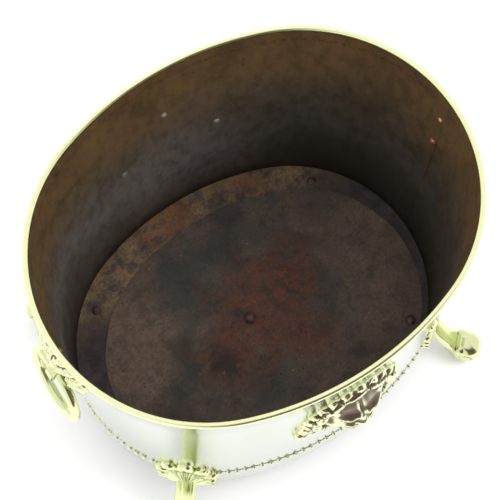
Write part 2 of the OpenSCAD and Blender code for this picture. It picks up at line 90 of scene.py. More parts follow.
@dataclass(frozen=True)
class Oval:
    """The four-centre oval of the mouth, and how the wall leans in below it. Sizes in metres."""

    half_length: float = 150 * MM
    half_width: float = 120 * MM
    end_x: float = 36.608 * MM
    side_y: float = 97.344 * MM
    taper: float = 4.5 * MM
    wall_t: float = 0.9 * MM
    floor_z: float = 44 * MM
    base_z: float = 39 * MM
    roll_r: float = 2.15 * MM
    top_z: float = 268 * MM

    @property
    def end_r(self) -> float:
        """Radius of the end arcs."""
        return self.half_length - self.end_x

    @property
    def join(self) -> float:
        """Half of the angle that an end arc spans."""
        return math.atan2(self.side_y, self.end_x)

    @property
    def side_r(self) -> float:
        """Radius of the side arcs."""
        return self.end_r + math.hypot(self.end_x, self.side_y)

    @property
    def roll_z(self) -> float:
        """Height of the middle of the rolled rim."""
        return self.top_z - self.roll_r

    def lean(self, z: float) -> float:
        """How far the inside of the wall leans in at height z."""
        return self.taper * (self.roll_z - z) / (self.roll_z - self.floor_z)

    def face(self, z: float) -> float:
        """Offset of the wall's outer face from the mouth's oval at height z."""
        return self.wall_t - self.lean(z)

    def arcs(self) -> list[tuple[Point, float, float]]:
        """The arcs in order from the right-hand end: centre, radius, angle."""
        side = math.pi - 2 * self.join
        return [
            ((self.end_x, 0.0), self.end_r, self.join),
            ((0.0, -self.side_y), self.side_r, side),
            ((-self.end_x, 0.0), self.end_r, 2 * self.join),
            ((0.0, self.side_y), self.side_r, side),
            ((self.end_x, 0.0), self.end_r, self.join),
        ]

    def along(self, distance: float, off: float) -> tuple[Vector, float]:
        """A point on the oval and the direction out of it.

        Args:
            distance: how far round the mouth's oval, from its right-hand end.
            off: how far outside the mouth's oval.

        Returns:
            The point at height 0 and the outward heading in radians.
        """
        heading = 0.0
        for (x, y), radius, angle in self.arcs():
            if distance <= radius * angle or (x > 0 and heading > 1):
                heading += distance / radius
                out = Vector((math.cos(heading), math.sin(heading), 0.0))
                return Vector((x, y, 0.0)) + out * (radius + off), heading
            distance -= radius * angle
            heading += angle
        raise ValueError("distance is past the end of the oval")

    def length(self) -> float:
        """Length once round the mouth's oval."""
        return sum(radius * angle for _, radius, angle in self.arcs())


@dataclass(frozen=True)
class Seat:
    """A place on the wall's outer face that a casting is fixed to."""

    oval: Oval
    centre: Point
    heading: float
    radius: float

    def put(self, along: float, z: float, out: float) -> Vector:
        """The point out from the wall's face, along the wall to the right and at height z."""
        turn = self.heading + along / self.radius
        reach = self.radius + self.oval.face(z) + out
        x, y = self.centre
        return Vector((x + reach * math.cos(turn), y + reach * math.sin(turn), z))

    @classmethod
    def on_end(cls, oval: Oval, x_side: int, turn: float = 0.0) -> "Seat":
        """A seat on an end arc, turned from the long axis by the given angle."""
        heading = 0.0 if x_side > 0 else math.pi
        return cls(oval, (x_side * oval.end_x, 0.0), heading + turn, oval.end_r)

    @classmethod
    def on_side(cls, oval: Oval, y_side: int) -> "Seat":
        """A seat in the middle of a long side."""
        return cls(oval, (0.0, -y_side * oval.side_y), y_side * math.pi / 2, oval.side_r)


# ---- the modelling bench ----


class Bench:
    """Modelling by hand, one piece at a time: primitives shaped in edit mode.

    The numbers say how a casting's hollows are stored: how often their depth is blurred, what
    share of it a vertex keeps and takes from its neighbours, and the level and contrast it gets.
    """

    blur_passes = 3
    kept = 0.4
    spread = 0.6
    level = 0.5
    contrast = 3.2

    @staticmethod
    def clear() -> None:
        """Deselects everything."""
        if bpy.context.object and bpy.context.object.mode != "OBJECT":
            bpy.ops.object.mode_set(mode="OBJECT")
        bpy.ops.object.select_all(action="DESELECT")

    @classmethod
    def pick(cls, piece: bpy.types.Object) -> None:
        """Selects one piece alone and makes it active."""
        cls.clear()
        piece.select_set(True)
        bpy.context.view_layer.objects.active = piece

    @staticmethod
    def edit_all() -> None:
        """Turns edit mode on with everything selected."""
        bpy.ops.object.mode_set(mode="EDIT")
        bpy.ops.mesh.select_all(action="SELECT")

    @classmethod
    def ball(
        cls, name: str, segments: int, rings: int, radius: float, tilt: Colour
    ) -> bpy.types.Object:
        """Adds a ball about the origin, its poles turned by the given angles."""
        cls.clear()
        bpy.ops.mesh.primitive_uv_sphere_add(
            segments=segments, ring_count=rings, radius=radius, rotation=tilt
        )
        ball = cls.named(name)
        bpy.ops.object.transform_apply(location=True, rotation=True, scale=True)
        return ball

    @staticmethod
    def named(name: str) -> bpy.types.Object:
        """Gives the new active object its name."""
        piece = bpy.context.object
        piece.name = piece.data.name = name
        return piece

    @classmethod
    def thread(cls, name: str, points: Sequence[Vector], closed: bool = False) -> bpy.types.Object:
        """Draws a line of edges by extruding one vertex from point to point.

        Args:
            name: the piece's name.
            points: the line's points.
            closed: whether the last point is joined to the first.

        Returns:
            The piece, in edit mode, all selected.
        """
        cls.clear()
        bpy.ops.mesh.primitive_plane_add(size=MM, location=points[0])
        piece = cls.named(name)
        bpy.ops.object.transform_apply(location=True, rotation=True, scale=True)
        bpy.ops.object.mode_set(mode="EDIT")
        bpy.ops.mesh.select_mode(type="VERT")
        bpy.ops.mesh.merge(type="CENTER")
        for here, there in zip(points, points[1:]):
            bpy.ops.mesh.extrude_region_move(TRANSFORM_OT_translate={"value": there - here})
        bpy.ops.mesh.select_all(action="SELECT")
        if closed:
            work = bmesh.from_edit_mesh(piece.data)
            ends = [v for v in work.verts if len(v.link_edges) == 1]
            bpy.ops.mesh.select_all(action="DESELECT")
            for end in ends:
                end.select_set(True)
            work.select_flush(True)
            bmesh.update_edit_mesh(piece.data)
            bpy.ops.mesh.edge_face_add()
            bpy.ops.mesh.select_all(action="SELECT")
        return piece

    @classmethod
    def round_oval(cls, oval: Oval, step: float = 3.6 * MM) -> None:
        """Spins the profile that is selected in edit mode once round the oval, and closes it.

        Args:
            oval: the line to follow, from its right-hand end.
            step: length of one step along the mouth.
        """
        for (x, y), radius, angle in oval.arcs():
            steps = max(2, round(radius * angle / step))
            bpy.ops.mesh.spin(steps=steps, angle=-angle, center=(x, y, 0.0), axis=(0, 0, 1))
        bpy.ops.mesh.select_all(action="SELECT")
        bpy.ops.mesh.remove_doubles(threshold=0.02 * MM)
        bpy.ops.mesh.normals_make_consistent(inside=False)
        bpy.ops.object.mode_set(mode="OBJECT")

    @classmethod
    def disc(cls, name: str, spokes: int, rings: int) -> bpy.types.Object:
        """Spins a line of edges into a disc of radius 1 about the origin.

        Args:
            name: the piece's name.
            spokes: how many steps the spin has.
            rings: how many edges the line has.

        Returns:
            The piece, in object mode.
        """
        line = [Vector((ring / rings, 0.0, 0.0)) for ring in range(rings + 1)]
        piece = cls.thread(name, line)
        bpy.ops.mesh.spin(steps=spokes, angle=2 * math.pi, center=(0, 0, 0), axis=(0, 0, 1))
        bpy.ops.mesh.select_all(action="SELECT")
        bpy.ops.mesh.remove_doubles(threshold=0.1 / (rings * spokes))
        bpy.ops.object.mode_set(mode="OBJECT")
        return piece

    @staticmethod
    def select(piece: bpy.types.Object, test: Test) -> None:
        """Selects the faces that pass a test on middle and normal, and leaves edit mode on."""
        bpy.context.view_layer.objects.active = piece
        bpy.ops.object.mode_set(mode="EDIT")
        bpy.ops.mesh.select_mode(type="FACE")
        bpy.ops.mesh.select_all(action="DESELECT")
        bpy.ops.object.mode_set(mode="OBJECT")
        for face in piece.data.polygons:
            face.select = test(face.center, face.normal)
        bpy.ops.object.mode_set(mode="EDIT")

    @classmethod
    def dress(cls, piece: bpy.types.Object, *coats: tuple[bpy.types.Material, Test]) -> None:
        """Gives a piece a material for all of it and others for the faces that pass a test."""
        for material, _ in coats:
            piece.data.materials.append(material)
        for index, (_, test) in enumerate(coats):
            if index:
                cls.select(piece, test)
                piece.active_material_index = index
                bpy.ops.object.material_slot_assign()
                bpy.ops.object.mode_set(mode="OBJECT")

    @classmethod
    def join(cls, pieces: Sequence[bpy.types.Object], name: str) -> bpy.types.Object:
        """Joins pieces into one."""
        cls.clear()
        for piece in pieces:
            piece.select_set(True)
        bpy.context.view_layer.objects.active = pieces[0]
        bpy.ops.object.join()
        return cls.named(name)

    @classmethod
    def smooth(cls, piece: bpy.types.Object, degrees: float = 40.0) -> None:
        """Shades a piece smooth except over sharp edges."""
        cls.pick(piece)
        bpy.ops.object.shade_smooth_by_angle(angle=math.radians(degrees))

    @classmethod
    def modify(cls, piece: bpy.types.Object, kind: str, **values: object) -> None:
        """Adds a modifier with the given values and applies it."""
        cls.pick(piece)
        modifier = piece.modifiers.new(kind.title(), kind)
        for key, value in values.items():
            setattr(modifier, key, value)
        bpy.ops.object.modifier_apply(modifier=modifier.name)

    @classmethod
    def outward(cls, piece: bpy.types.Object) -> None:
        """Merges doubles and turns all faces outwards."""
        cls.clear()
        bpy.context.view_layer.objects.active = piece
        bpy.ops.object.mode_set(mode="EDIT")
        bpy.ops.mesh.select_all(action="SELECT")
        bpy.ops.mesh.remove_doubles(threshold=0.005 * MM)
        bpy.ops.mesh.normals_make_consistent(inside=False)
        bpy.ops.object.mode_set(mode="OBJECT")

    @staticmethod
    def move(piece: bpy.types.Object, place: Callable[[Vector], Vector]) -> None:
        """Moves every vertex of a piece."""
        for vertex in piece.data.vertices:
            vertex.co = place(vertex.co)
        piece.data.update()

    @classmethod
    def hollows(cls, piece: bpy.types.Object, top_dark_reflection: float = 0.0, above: float = 0.0) -> None:
        """Stores how far each vertex lies in a hollow, as a colour that the castings' finish turns
        into brown patina and painted shade.

        Args:
            piece: the casting.
            top_dark_reflection: how much more a face that looks up counts, which paints a dark
                reflection onto its top.
            above: the height from which it does.
        """
        cls.pick(piece)
        piece.data.color_attributes.new("hollow", "FLOAT_COLOR", "POINT")
        mesh = bmesh.new()
        mesh.from_mesh(piece.data)
        near = {v.index: [edge.other_vert(v) for edge in v.link_edges] for v in mesh.verts}
        depth = {}
        for vertex in mesh.verts:
            ways = [(other.co - vertex.co).normalized() for other in near[vertex.index]]
            bends = [way.dot(vertex.normal) for way in ways]
            depth[vertex.index] = sum(bends) / len(bends) if bends else 0.0
        for _ in range(cls.blur_passes):
            depth = {
                index: cls.kept * depth[index]
                + cls.spread * sum(depth[other.index] for other in others) / max(1, len(others))
                for index, others in near.items()
            }
        # A painted dark reflection: faces that look up, above the given height, count as lying
        # further in a hollow.
        top_reflection = {
            vertex.index: top_dark_reflection * max(0.0, vertex.normal.z) if vertex.co.z > above else 0.0
            for vertex in mesh.verts
        }
        mesh.free()
        colours = piece.data.color_attributes["hollow"].data
        for index, value in depth.items():
            shade = clamp(cls.level + cls.contrast * value + top_reflection[index])
            colours[index].color = (shade, shade, shade, 1.0)


# ---- shader maths ----

SPOT_CORE = 0.35  # the share of a spot's reach that is fully covered


def maths(operation: str, swapped: bool = False) -> Callable[["Wire", object], "Wire"]:
    """Makes a method that adds one Math node.

    Args:
        operation: the node's operation.
        swapped: whether the wire is the second operand.

    Returns:
        The method.
    """

    def method(self: "Wire", other: object) -> "Wire":
        """Combines the wire with a number or another wire."""
        first, second = (other, self) if swapped else (self, other)
        return self.brew.node("ShaderNodeMath", {"operation": operation}, {0: first, 1: second})

    return method


class Wire:
    """A node socket that takes part in Python arithmetic."""

    __add__ = maths("ADD")
    __radd__ = maths("ADD", swapped=True)
    __sub__ = maths("SUBTRACT")
    __rsub__ = maths("SUBTRACT", swapped=True)
    __mul__ = maths("MULTIPLY")
    __rmul__ = maths("MULTIPLY", swapped=True)
    __truediv__ = maths("DIVIDE")
    __pow__ = maths("POWER")
    least = maths("MINIMUM")

    def __init__(self, brew: "Brew", socket: bpy.types.NodeSocket) -> None:
        """Keeps the socket and the tree that it belongs to."""
        self.brew = brew
        self.socket = socket

    def size(self) -> "Wire":
        """The value without its sign."""
        return self.brew.node("ShaderNodeMath", {"operation": "ABSOLUTE"}, {0: self})

    def ease(self, low: float, high: float) -> "Wire":
        """Runs smoothly from 0 at low to 1 at high."""
        return self.brew.node(
            "ShaderNodeMapRange",
            {"interpolation_type": "SMOOTHSTEP"},
            {"Value": self, "From Min": low, "From Max": high, "To Min": 0.0, "To Max": 1.0},
        )


class Brew:
    """One material's node tree."""

    def __init__(self, name: str) -> None:
        """Starts an empty material."""
        self.material = bpy.data.materials.new(name)
        self.material.use_nodes = True
        self.start(self.material.node_tree, "Object", "ShaderNodeOutputMaterial")

    @classmethod
    def of_world(cls, world: bpy.types.World) -> "Brew":
        """Starts a world's node tree, where the place is the direction looked in."""
        brew = cls.__new__(cls)
        world.use_nodes = True
        brew.start(world.node_tree, "Generated", "ShaderNodeOutputWorld")
        return brew

    def start(self, tree: bpy.types.NodeTree, coordinate: str, end: str) -> None:
        """Empties a tree and adds the place.

        Args:
            tree: the node tree.
            coordinate: the output of Texture Coordinate to read.
            end: the type of the output node.
        """
        self.tree, self.end = tree, end
        self.tree.nodes.clear()
        self.place = self.node("ShaderNodeTexCoord", {}, {}, coordinate)
        split = self.node("ShaderNodeSeparateXYZ", {}, {"Vector": self.place}).socket.node
        self.x, self.y, self.z = (Wire(self, output) for output in split.outputs)

    def node(self, kind: str, settings: dict, inputs: dict, output: object = 0) -> Wire:
        """Adds a node.

        Args:
            kind: the node's type.
            settings: the node's own settings, and the stops of a ramp.
            inputs: values or wires by socket name or number.
            output: which output to return.

        Returns:
            The output, as a wire.
        """
        node = self.tree.nodes.new(kind)
        for key, value in settings.items():
            if key == "stops":
                ramp = node.color_ramp
                while len(ramp.elements) < len(value):
                    ramp.elements.new(0.5)
                for element, (position, colour) in zip(ramp.elements, value):
                    element.position = position
                    element.color = (*colour, 1.0)
            else:
                setattr(node, key, value)
        for key, value in inputs.items():
            if isinstance(value, Wire):
                self.tree.links.new(value.socket, node.inputs[key])
            elif isinstance(value, tuple) and len(value) == 3 and node.inputs[key].type == "RGBA":
                node.inputs[key].default_value = (*value, 1.0)
            else:
                node.inputs[key].default_value = value
        return Wire(self, node.outputs[output])

    def noise(
        self,
        scale: float,
        detail: float = 4.0,
        rough: float = 0.55,
        twist: float = 0.0,
        at: Wire | None = None,
    ) -> Wire:
        """Cloudy noise with this many waves to a metre."""
        inputs = {"Vector": at or self.place, "Scale": scale, "Detail": detail}
        inputs |= {"Roughness": rough, "Distortion": twist}
        return self.node("ShaderNodeTexNoise", {}, inputs, "Fac")

    def cells(self, scale: float, at: Wire | None = None) -> Wire:
        """Distance in a pattern of random cells."""
        inputs = {"Vector": at or self.place, "Scale": scale}
        return self.node("ShaderNodeTexVoronoi", {}, inputs, "Distance")

    def moved(self, shift: Colour, scale: Colour = (1.0, 1.0, 1.0)) -> Wire:
        """The place, shifted and scaled."""
        inputs = {"Vector": self.place, "Location": shift, "Scale": scale}
        return self.node("ShaderNodeMapping", {}, inputs)

    def drawn(self, height: float, shift: Colour = (0.0, 0.0, 0.0)) -> Wire:
        """The place, with the pattern drawn out upwards: height is below 1."""
        return self.moved(shift, (1.0, 1.0, height))

    def mix(self, share: object, first: object, second: object) -> Wire:
        """Blends two colours."""
        settings = {"data_type": "RGBA", "clamp_factor": True}
        return self.node("ShaderNodeMix", settings, {0: share, 6: first, 7: second}, 2)

    def ramp(self, value: Wire, stops: Sequence[tuple[float, Colour]]) -> Wire:
        """Colours a value."""
        return self.node("ShaderNodeValToRGB", {"stops": stops}, {"Fac": value})

    def spot(self, x: float, y: float, reach: float, wobble: Wire) -> Wire:
        """1 at a place on the floor, falling to 0 at its uneven edge."""
        across = self.x - x
        up = self.y - y
        away = (across * across + up * up) ** 0.5 + wobble
        return 1.0 - away.ease(SPOT_CORE * reach, reach)

    def spots(self, places: Sequence[Spot], wobble: Wire) -> Wire:
        """The sum of several spots, each with its place in x and y, its reach and its strength."""
        return sum(self.spot(x, y, reach, wobble) * strength for x, y, reach, strength in places)

    def finish(
        self,
        colour: object,
        rough: object,
        metal: object,
        height: Wire | None = None,
        depth: float = 0.0,
    ) -> bpy.types.Material:
        """Closes the tree with one Principled shader.

        Args:
            colour: base colour.
            rough: roughness.
            metal: metalness.
            height: bump height from 0 to 1.
            depth: the bump's depth in metres.

        Returns:
            The material.
        """
        inputs = {"Base Color": colour, "Roughness": rough, "Metallic": metal}
        if height is not None:
            bump = {"Height": height, "Distance": depth, "Strength": 1.0}
            inputs["Normal"] = self.node("ShaderNodeBump", {}, bump, "Normal")
        shader = self.node("ShaderNodeBsdfPrincipled", {}, inputs)
        self.node_out(shader)
        return self.material

    def node_out(self, shader: Wire) -> None:
        """Wires a shader to the material's surface."""
        out = self.tree.nodes.new(self.end)
        self.tree.links.new(shader.socket, out.inputs["Surface"])


# ---- finishes ----


@dataclass(frozen=True)
class PolishedBrass:
    """Sheet brass rubbed bright, with faint waves, smears and a thin film in the corners."""

    name: str = "polished_sheet"
    tint: Colour = (0.66, 0.70, 0.61)
    warm: Colour = (0.55, 0.58, 0.36)
    rough: float = 0.09
    wave: float = 0.12 * MM
    speck: Colour = (0.42, 0.36, 0.16)
    film_low: float = 39 * MM
    film_high: float = 75 * MM

    def make(self) -> bpy.types.Material:
        """Builds the material."""
        brew = Brew(self.name)
        cloud = brew.noise(9.0, 3.0)
        smear = brew.noise(60.0, 5.0, 0.6, at=brew.drawn(0.25))
        rubbed = brew.noise(700.0, 3.0, 0.6)
        low = 1.0 - brew.z.ease(self.film_low, self.film_high)
        film = (cloud.ease(0.45, 0.75) * 0.35 + low * 0.5) * smear.ease(0.35, 0.7)
        specks = (1.0 - brew.cells(190.0).ease(0.02, 0.09)) * 0.25
        colour = brew.mix(film, self.tint, self.warm)
        colour = brew.mix(specks * cloud, colour, self.speck)
        rough = self.rough + smear * 0.07 + rubbed * 0.05
        height = brew.noise(26.0, 2.0) + rubbed * 0.012
        return brew.finish(colour, rough, 1.0, height, self.wave)


@dataclass(frozen=True)
class CastBrass:
    """Cast and chased brass: bright on its high parts, brown in its hollows, which mixes patina
    with painted shade.
    """

    name: str = "cast_brass"
    tint: Colour = (0.76, 0.82, 0.48)
    # The hollows' colour: brown patina and painted shade.
    hollow_patina_and_shade: Colour = (0.060, 0.030, 0.012)
    rough: float = 0.13
    hollow: bool = True
    dull: float = 0.35
    cloudy: Colour = (0.66, 0.62, 0.30)

    def make(self) -> bpy.types.Material:
        """Builds the material."""
        brew = Brew(self.name)
        grain = brew.noise(420.0, 5.0, 0.6)
        cloud = brew.noise(48.0, 4.0)
        # Brown patina in the hollows mixed with painted shade there, and on the masks and feet a
        # painted dark reflection on faces that look up; without hollows, faint random grime.
        if self.hollow:
            shade = brew.node("ShaderNodeAttribute", {"attribute_name": "hollow"}, {}, "Fac")
            grime_and_shade = (shade + (cloud - 0.5) * 0.12).ease(0.52, 0.66)
        else:
            grime_and_shade = cloud.ease(0.6, 0.85) * 0.15
        colour = brew.mix(cloud.ease(0.3, 0.75) * 0.35, self.tint, self.cloudy)
        colour = brew.mix(grime_and_shade, colour, self.hollow_patina_and_shade)
        rough = self.rough + grain * 0.07 + grime_and_shade * self.dull
        metal = 1.0 - grime_and_shade * 0.45
        return brew.finish(colour, rough, metal, cloud + grain * 0.08, 0.04 * MM)


@dataclass(frozen=True)
class AgedInside:
    """The bare inside of the wall: warm brown patina above, a painted reflection of the floor in
    grey below, and painted shade low at both ends and along the floor.
    """

    name: str = "aged_inside"
    low_z: float = 44 * MM
    high_z: float = 268 * MM
    # Colour by height above the floor: painted shade at the bottom, a painted reflection of the
    # floor in grey lower down, warm brown patina above.
    levels: Sequence[tuple[float, Colour]] = (
        (0.0, (0.050, 0.042, 0.034)),
        (0.16, (0.140, 0.120, 0.108)),
        (0.34, (0.275, 0.252, 0.240)),
        (0.52, (0.215, 0.170, 0.130)),
        (0.74, (0.225, 0.142, 0.064)),
        (1.0, (0.170, 0.094, 0.038)),
    )
    tarnish_dark: Colour = (0.085, 0.062, 0.026)
    tarnish_gold: Colour = (0.260, 0.160, 0.060)
    mottle_dark: Colour = (0.070, 0.052, 0.034)
    grain_gold: Colour = (0.30, 0.20, 0.09)
    # Painted shade, low down at the right-hand end and at the bottom of the left-hand end.
    east_painted_shade: Colour = (0.040, 0.036, 0.022)
    west_painted_shade: Colour = (0.055, 0.045, 0.036)
    spot_dark: Colour = (0.030, 0.022, 0.016)
    fleck_dark: Colour = (0.028, 0.020, 0.016)
    # Painted shade along the floor.
    corner_painted_shade: Colour = (0.018, 0.013, 0.010)
    seam_dark: Colour = (0.020, 0.014, 0.010)
    seam_y: float = -4 * MM
    fleck_down: float = 13 * MM
    fleck_stray: float = 8 * MM
    corner_up: float = 8 * MM
    corner_stray: float = 16 * MM

    def make(self) -> bpy.types.Material:
        """Builds the material."""
        brew = Brew(self.name)
        rise = (brew.z - self.low_z) / (self.high_z - self.low_z)
        drift = brew.noise(7.0, 4.0, 0.6)
        streak = brew.noise(30.0, 5.0, 0.6, at=brew.drawn(0.18))
        mottle = brew.noise(120.0, 6.0, 0.66, at=brew.drawn(0.45))
        fine = brew.noise(520.0, 4.0, 0.7)
        level = rise + (drift - 0.5) * 0.55 + (streak - 0.5) * 0.1
        # Patina, with a painted reflection and painted shade, by height.
        colour = brew.ramp(level, self.levels)
        tarnish = brew.noise(21.0, 6.0, 0.7, 0.5, at=brew.drawn(0.7, (0.4, 0.1, 0.2)))
        dark = tarnish.ease(0.48, 0.64) * 0.55 * rise.ease(0.25, 0.6)
        colour = brew.mix(dark, colour, self.tarnish_dark)
        gold = tarnish.ease(0.52, 0.36) * 0.35 * rise.ease(0.4, 0.7)
        colour = brew.mix(gold, colour, self.tarnish_gold)
        colour = brew.mix(mottle.ease(0.38, 0.70) * 0.5, colour, self.mottle_dark)
        colour = brew.mix(fine.ease(0.62, 0.8) * 0.45 * rise, colour, self.grain_gold)
        # Painted shade: darker low down at the right-hand end, and at the bottom of the left-hand
        # end.
        east_shade = brew.x.ease(0.01, 0.115) * (1.0 - rise.ease(0.25, 0.85))
        colour = brew.mix(east_shade * 0.68, colour, self.east_painted_shade)
        west_shade = (0.0 - brew.x).ease(0.06, 0.14) * (1.0 - rise.ease(0.1, 0.7))
        colour = brew.mix(west_shade * 0.45, colour, self.west_painted_shade)
        spots = (1.0 - brew.cells(160.0).ease(0.05, 0.24)) * mottle.ease(0.5, 0.62)
        colour = brew.mix(spots * 0.8, colour, self.spot_dark)
        stray = (drift - 0.5) * self.fleck_stray
        off_line = (brew.z - self.high_z + self.fleck_down + stray).size()
        flecks = (1.0 - off_line.ease(1 * MM, 4 * MM)) * fine.ease(0.5, 0.6)
        colour = brew.mix(flecks * 0.7, colour, self.fleck_dark)
        # Painted shade in a band of uneven height along the floor.
        corner_top = self.low_z + (self.corner_up + drift * self.corner_stray)
        corner = 1.0 - brew.z.ease(self.low_z, corner_top)
        colour = brew.mix(corner * 0.8, colour, self.corner_painted_shade)
        off_seam = (brew.y - self.seam_y + (streak - 0.5) * 2 * MM).size()
        seam = (1.0 - off_seam.ease(0.3 * MM, 0.9 * MM)) * brew.x.ease(0.10, 0.11)
        colour = brew.mix(seam * tarnish.ease(0.4, 0.6) * 0.6, colour, self.seam_dark)
        rough = 0.46 + mottle * 0.2 - rise * 0.08
        height = mottle * 0.5 + fine * 0.25 - spots * 0.6 - seam
        return brew.finish(colour, rough, 0.45, height, 0.16 * MM)


GREEN_SPOTS = (
    (-0.020, 0.055, 0.048, 0.9),
    (-0.045, 0.035, 0.036, 0.8),
    (0.038, 0.066, 0.046, 0.8),
    (-0.066, -0.004, 0.036, 0.9),
    (-0.066, -0.036, 0.034, 0.8),
    (0.060, -0.022, 0.034, 0.7),
    (-0.008, -0.062, 0.040, 0.8),
)
SANDY_SPOTS = (
    (-0.088, 0.034, 0.052, 0.9),
    (-0.114, 0.004, 0.034, 0.8),
    (0.092, -0.040, 0.046, 0.6),
    (0.115, 0.012, 0.044, 0.55),
    (0.060, 0.088, 0.050, 0.5),
)
RUST_SPOTS = (
    (0.008, 0.006, 0.052, 1.0),
    (0.042, 0.022, 0.036, 0.9),
    (0.026, -0.038, 0.036, 0.7),
    (-0.034, -0.020, 0.038, 0.9),
)
BORDER_RUST_SPOTS = ((0.061, 0.104, 0.026, 1.0), (-0.018, 0.104, 0.032, 1.0))
STAINS = (
    (0.0547, -0.0706, 0.011, 0.6, 0.15),
    (-0.062, 0.008, 0.014, 0.6, 0.3),
    (-0.040, -0.020, 0.020, 0.8, 0.4),
    (-0.0035, 0.0, 0.015, 0.4, 0.3),
    (0.030, 0.085, 0.024, 0.6, 0.4),
)


@dataclass(frozen=True)
class AgedFloor:
    """The floor and its liner: rust in the middle, sandy and grey-green patches, stains and pits.

    The tables above give each spot's place in x and y, its reach and its strength, and each
    stain's unevenness last.
    """

    name: str = "aged_floor"
    border: bool = False
    brown: Colour = (0.092, 0.070, 0.060)
    tan: Colour = (0.165, 0.112, 0.082)
    green: Colour = (0.058, 0.069, 0.061)
    sandy: Colour = (0.240, 0.162, 0.118)
    rust: Colour = (0.135, 0.060, 0.040)
    crust: Colour = (0.225, 0.086, 0.048)
    crust_pit: Colour = (0.060, 0.036, 0.030)
    border_brown: Colour = (0.092, 0.068, 0.070)
    border_dark: Colour = (0.054, 0.040, 0.044)
    border_sand: Colour = (0.320, 0.215, 0.115)
    border_rust: Colour = (0.270, 0.098, 0.036)
    stain: Colour = (0.030, 0.026, 0.026)
    teal: Colour = (0.050, 0.085, 0.080)
    speck: Colour = (0.026, 0.018, 0.015)
    pale: Colour = (0.42, 0.33, 0.26)
    blotch: Colour = (0.044, 0.034, 0.030)
    grime: Colour = (0.040, 0.026, 0.020)

    def make(self) -> bpy.types.Material:
        """Builds the material."""
        brew = Brew(self.name)
        drift = brew.noise(11.0, 5.0, 0.6, 0.4)
        patch = brew.noise(24.0, 6.0, 0.62, 0.6, at=brew.moved((0.31, 0.12, 0.0)))
        mottle = brew.noise(85.0, 7.0, 0.7)
        fine = brew.noise(430.0, 5.0, 0.7)
        wobble = (patch - 0.5) * 0.10 + (mottle - 0.5) * 0.04
        colour = brew.mix(patch.ease(0.36, 0.62), self.brown, self.tan)
        green = brew.spots(GREEN_SPOTS, wobble).least(1.0) * drift.ease(0.25, 0.5)
        colour = brew.mix(green * 0.80, colour, self.green)
        sandy = brew.spots(SANDY_SPOTS, wobble).least(1.0) * mottle.ease(0.30, 0.62)
        colour = brew.mix(sandy, colour, self.sandy)
        crust = brew.noise(150.0, 6.0, 0.75, 0.6, at=brew.moved((0.2, 0.6, 0.0)))
        rust = brew.spots(RUST_SPOTS, wobble).least(1.0)
        rust = rust * (mottle * 0.7 + patch * 0.5).ease(0.40, 0.66)
        colour = brew.mix(rust * 0.8, colour, self.rust)
        colour = brew.mix(rust * crust.ease(0.42, 0.60), colour, self.crust)
        colour = brew.mix(rust * crust.ease(0.46, 0.34) * 0.6, colour, self.crust_pit)
        if self.border:
            colour = self.edge(brew, mottle, wobble)
        stains = sum(
            brew.spot(x, y, reach, wobble * uneven) * strength
            for x, y, reach, strength, uneven in STAINS
        )
        colour = brew.mix(stains.least(1.0) * 0.85, colour, self.stain)
        teal = brew.spot(-0.064, -0.012, 0.008, wobble * 0.2)
        colour = brew.mix(teal * 0.7, colour, self.teal)
        specks = (1.0 - brew.cells(210.0).ease(0.04, 0.22)) * mottle.ease(0.48, 0.6)
        colour = brew.mix(specks * 0.8, colour, self.speck)
        dots = 1.0 - brew.cells(130.0, at=brew.moved((0.05, 0.3, 0.0))).ease(0.03, 0.12)
        colour = brew.mix(dots * patch.ease(0.5, 0.6) * 0.7, colour, self.pale)
        blotch = brew.noise(64.0, 7.0, 0.74, 0.3, at=brew.moved((0.9, 0.4, 0.0)))
        colour = brew.mix(blotch.ease(0.46, 0.66) * (0.50 - 0.3 * rust), colour, self.blotch)
        colour = brew.mix(fine.ease(0.35, 0.75) * 0.45, colour, self.grime)
        rough = 0.55 + mottle * 0.25 + rust * 0.1
        height = mottle * 0.6 + fine * 0.35 - specks + rust * crust
        return brew.finish(colour, rough, 0.25, height, 0.35 * MM)

    def edge(self, brew: Brew, mottle: Wire, wobble: Wire) -> Wire:
        """The colour of the pan's border: dark, with sand and rust along the back.

        Args:
            brew: the material's tree.
            mottle: the fine pattern.
            wobble: what makes edges uneven.

        Returns:
            The colour.
        """
        warm = brew.noise(17.0, 5.0, 0.6, at=brew.moved((0.7, 0.2, 0.1)))
        back = (brew.y + wobble * 0.4).ease(0.046, 0.084)
        colour = brew.mix(mottle.ease(0.38, 0.62), self.border_brown, self.border_dark)
        colour = brew.mix(back * mottle.ease(0.34, 0.6), colour, self.border_sand)
        rusty = brew.spots(BORDER_RUST_SPOTS, wobble * 0.5).least(1.0)
        share = rusty * (warm * mottle).ease(0.16, 0.32) * 0.85
        return brew.mix(share, colour, self.border_rust)


@dataclass(frozen=True)
class OldCopper:
    """Copper and iron fixings, rubbed bright in random patches and dull in others."""

    name: str = "old_copper"
    bright: Colour = (0.80, 0.40, 0.24)
    dull: Colour = (0.34, 0.16, 0.09)
    metal: float = 0.9

    def make(self) -> bpy.types.Material:
        """Builds the material."""
        brew = Brew(self.name)
        wear = brew.noise(260.0, 5.0, 0.65)
        fine = brew.noise(1400.0, 4.0, 0.6)
        colour = brew.mix(wear.ease(0.38, 0.62), self.bright, self.dull)
        return brew.finish(colour, 0.32 + wear * 0.3, self.metal, wear + fine * 0.4, 0.08 * MM)


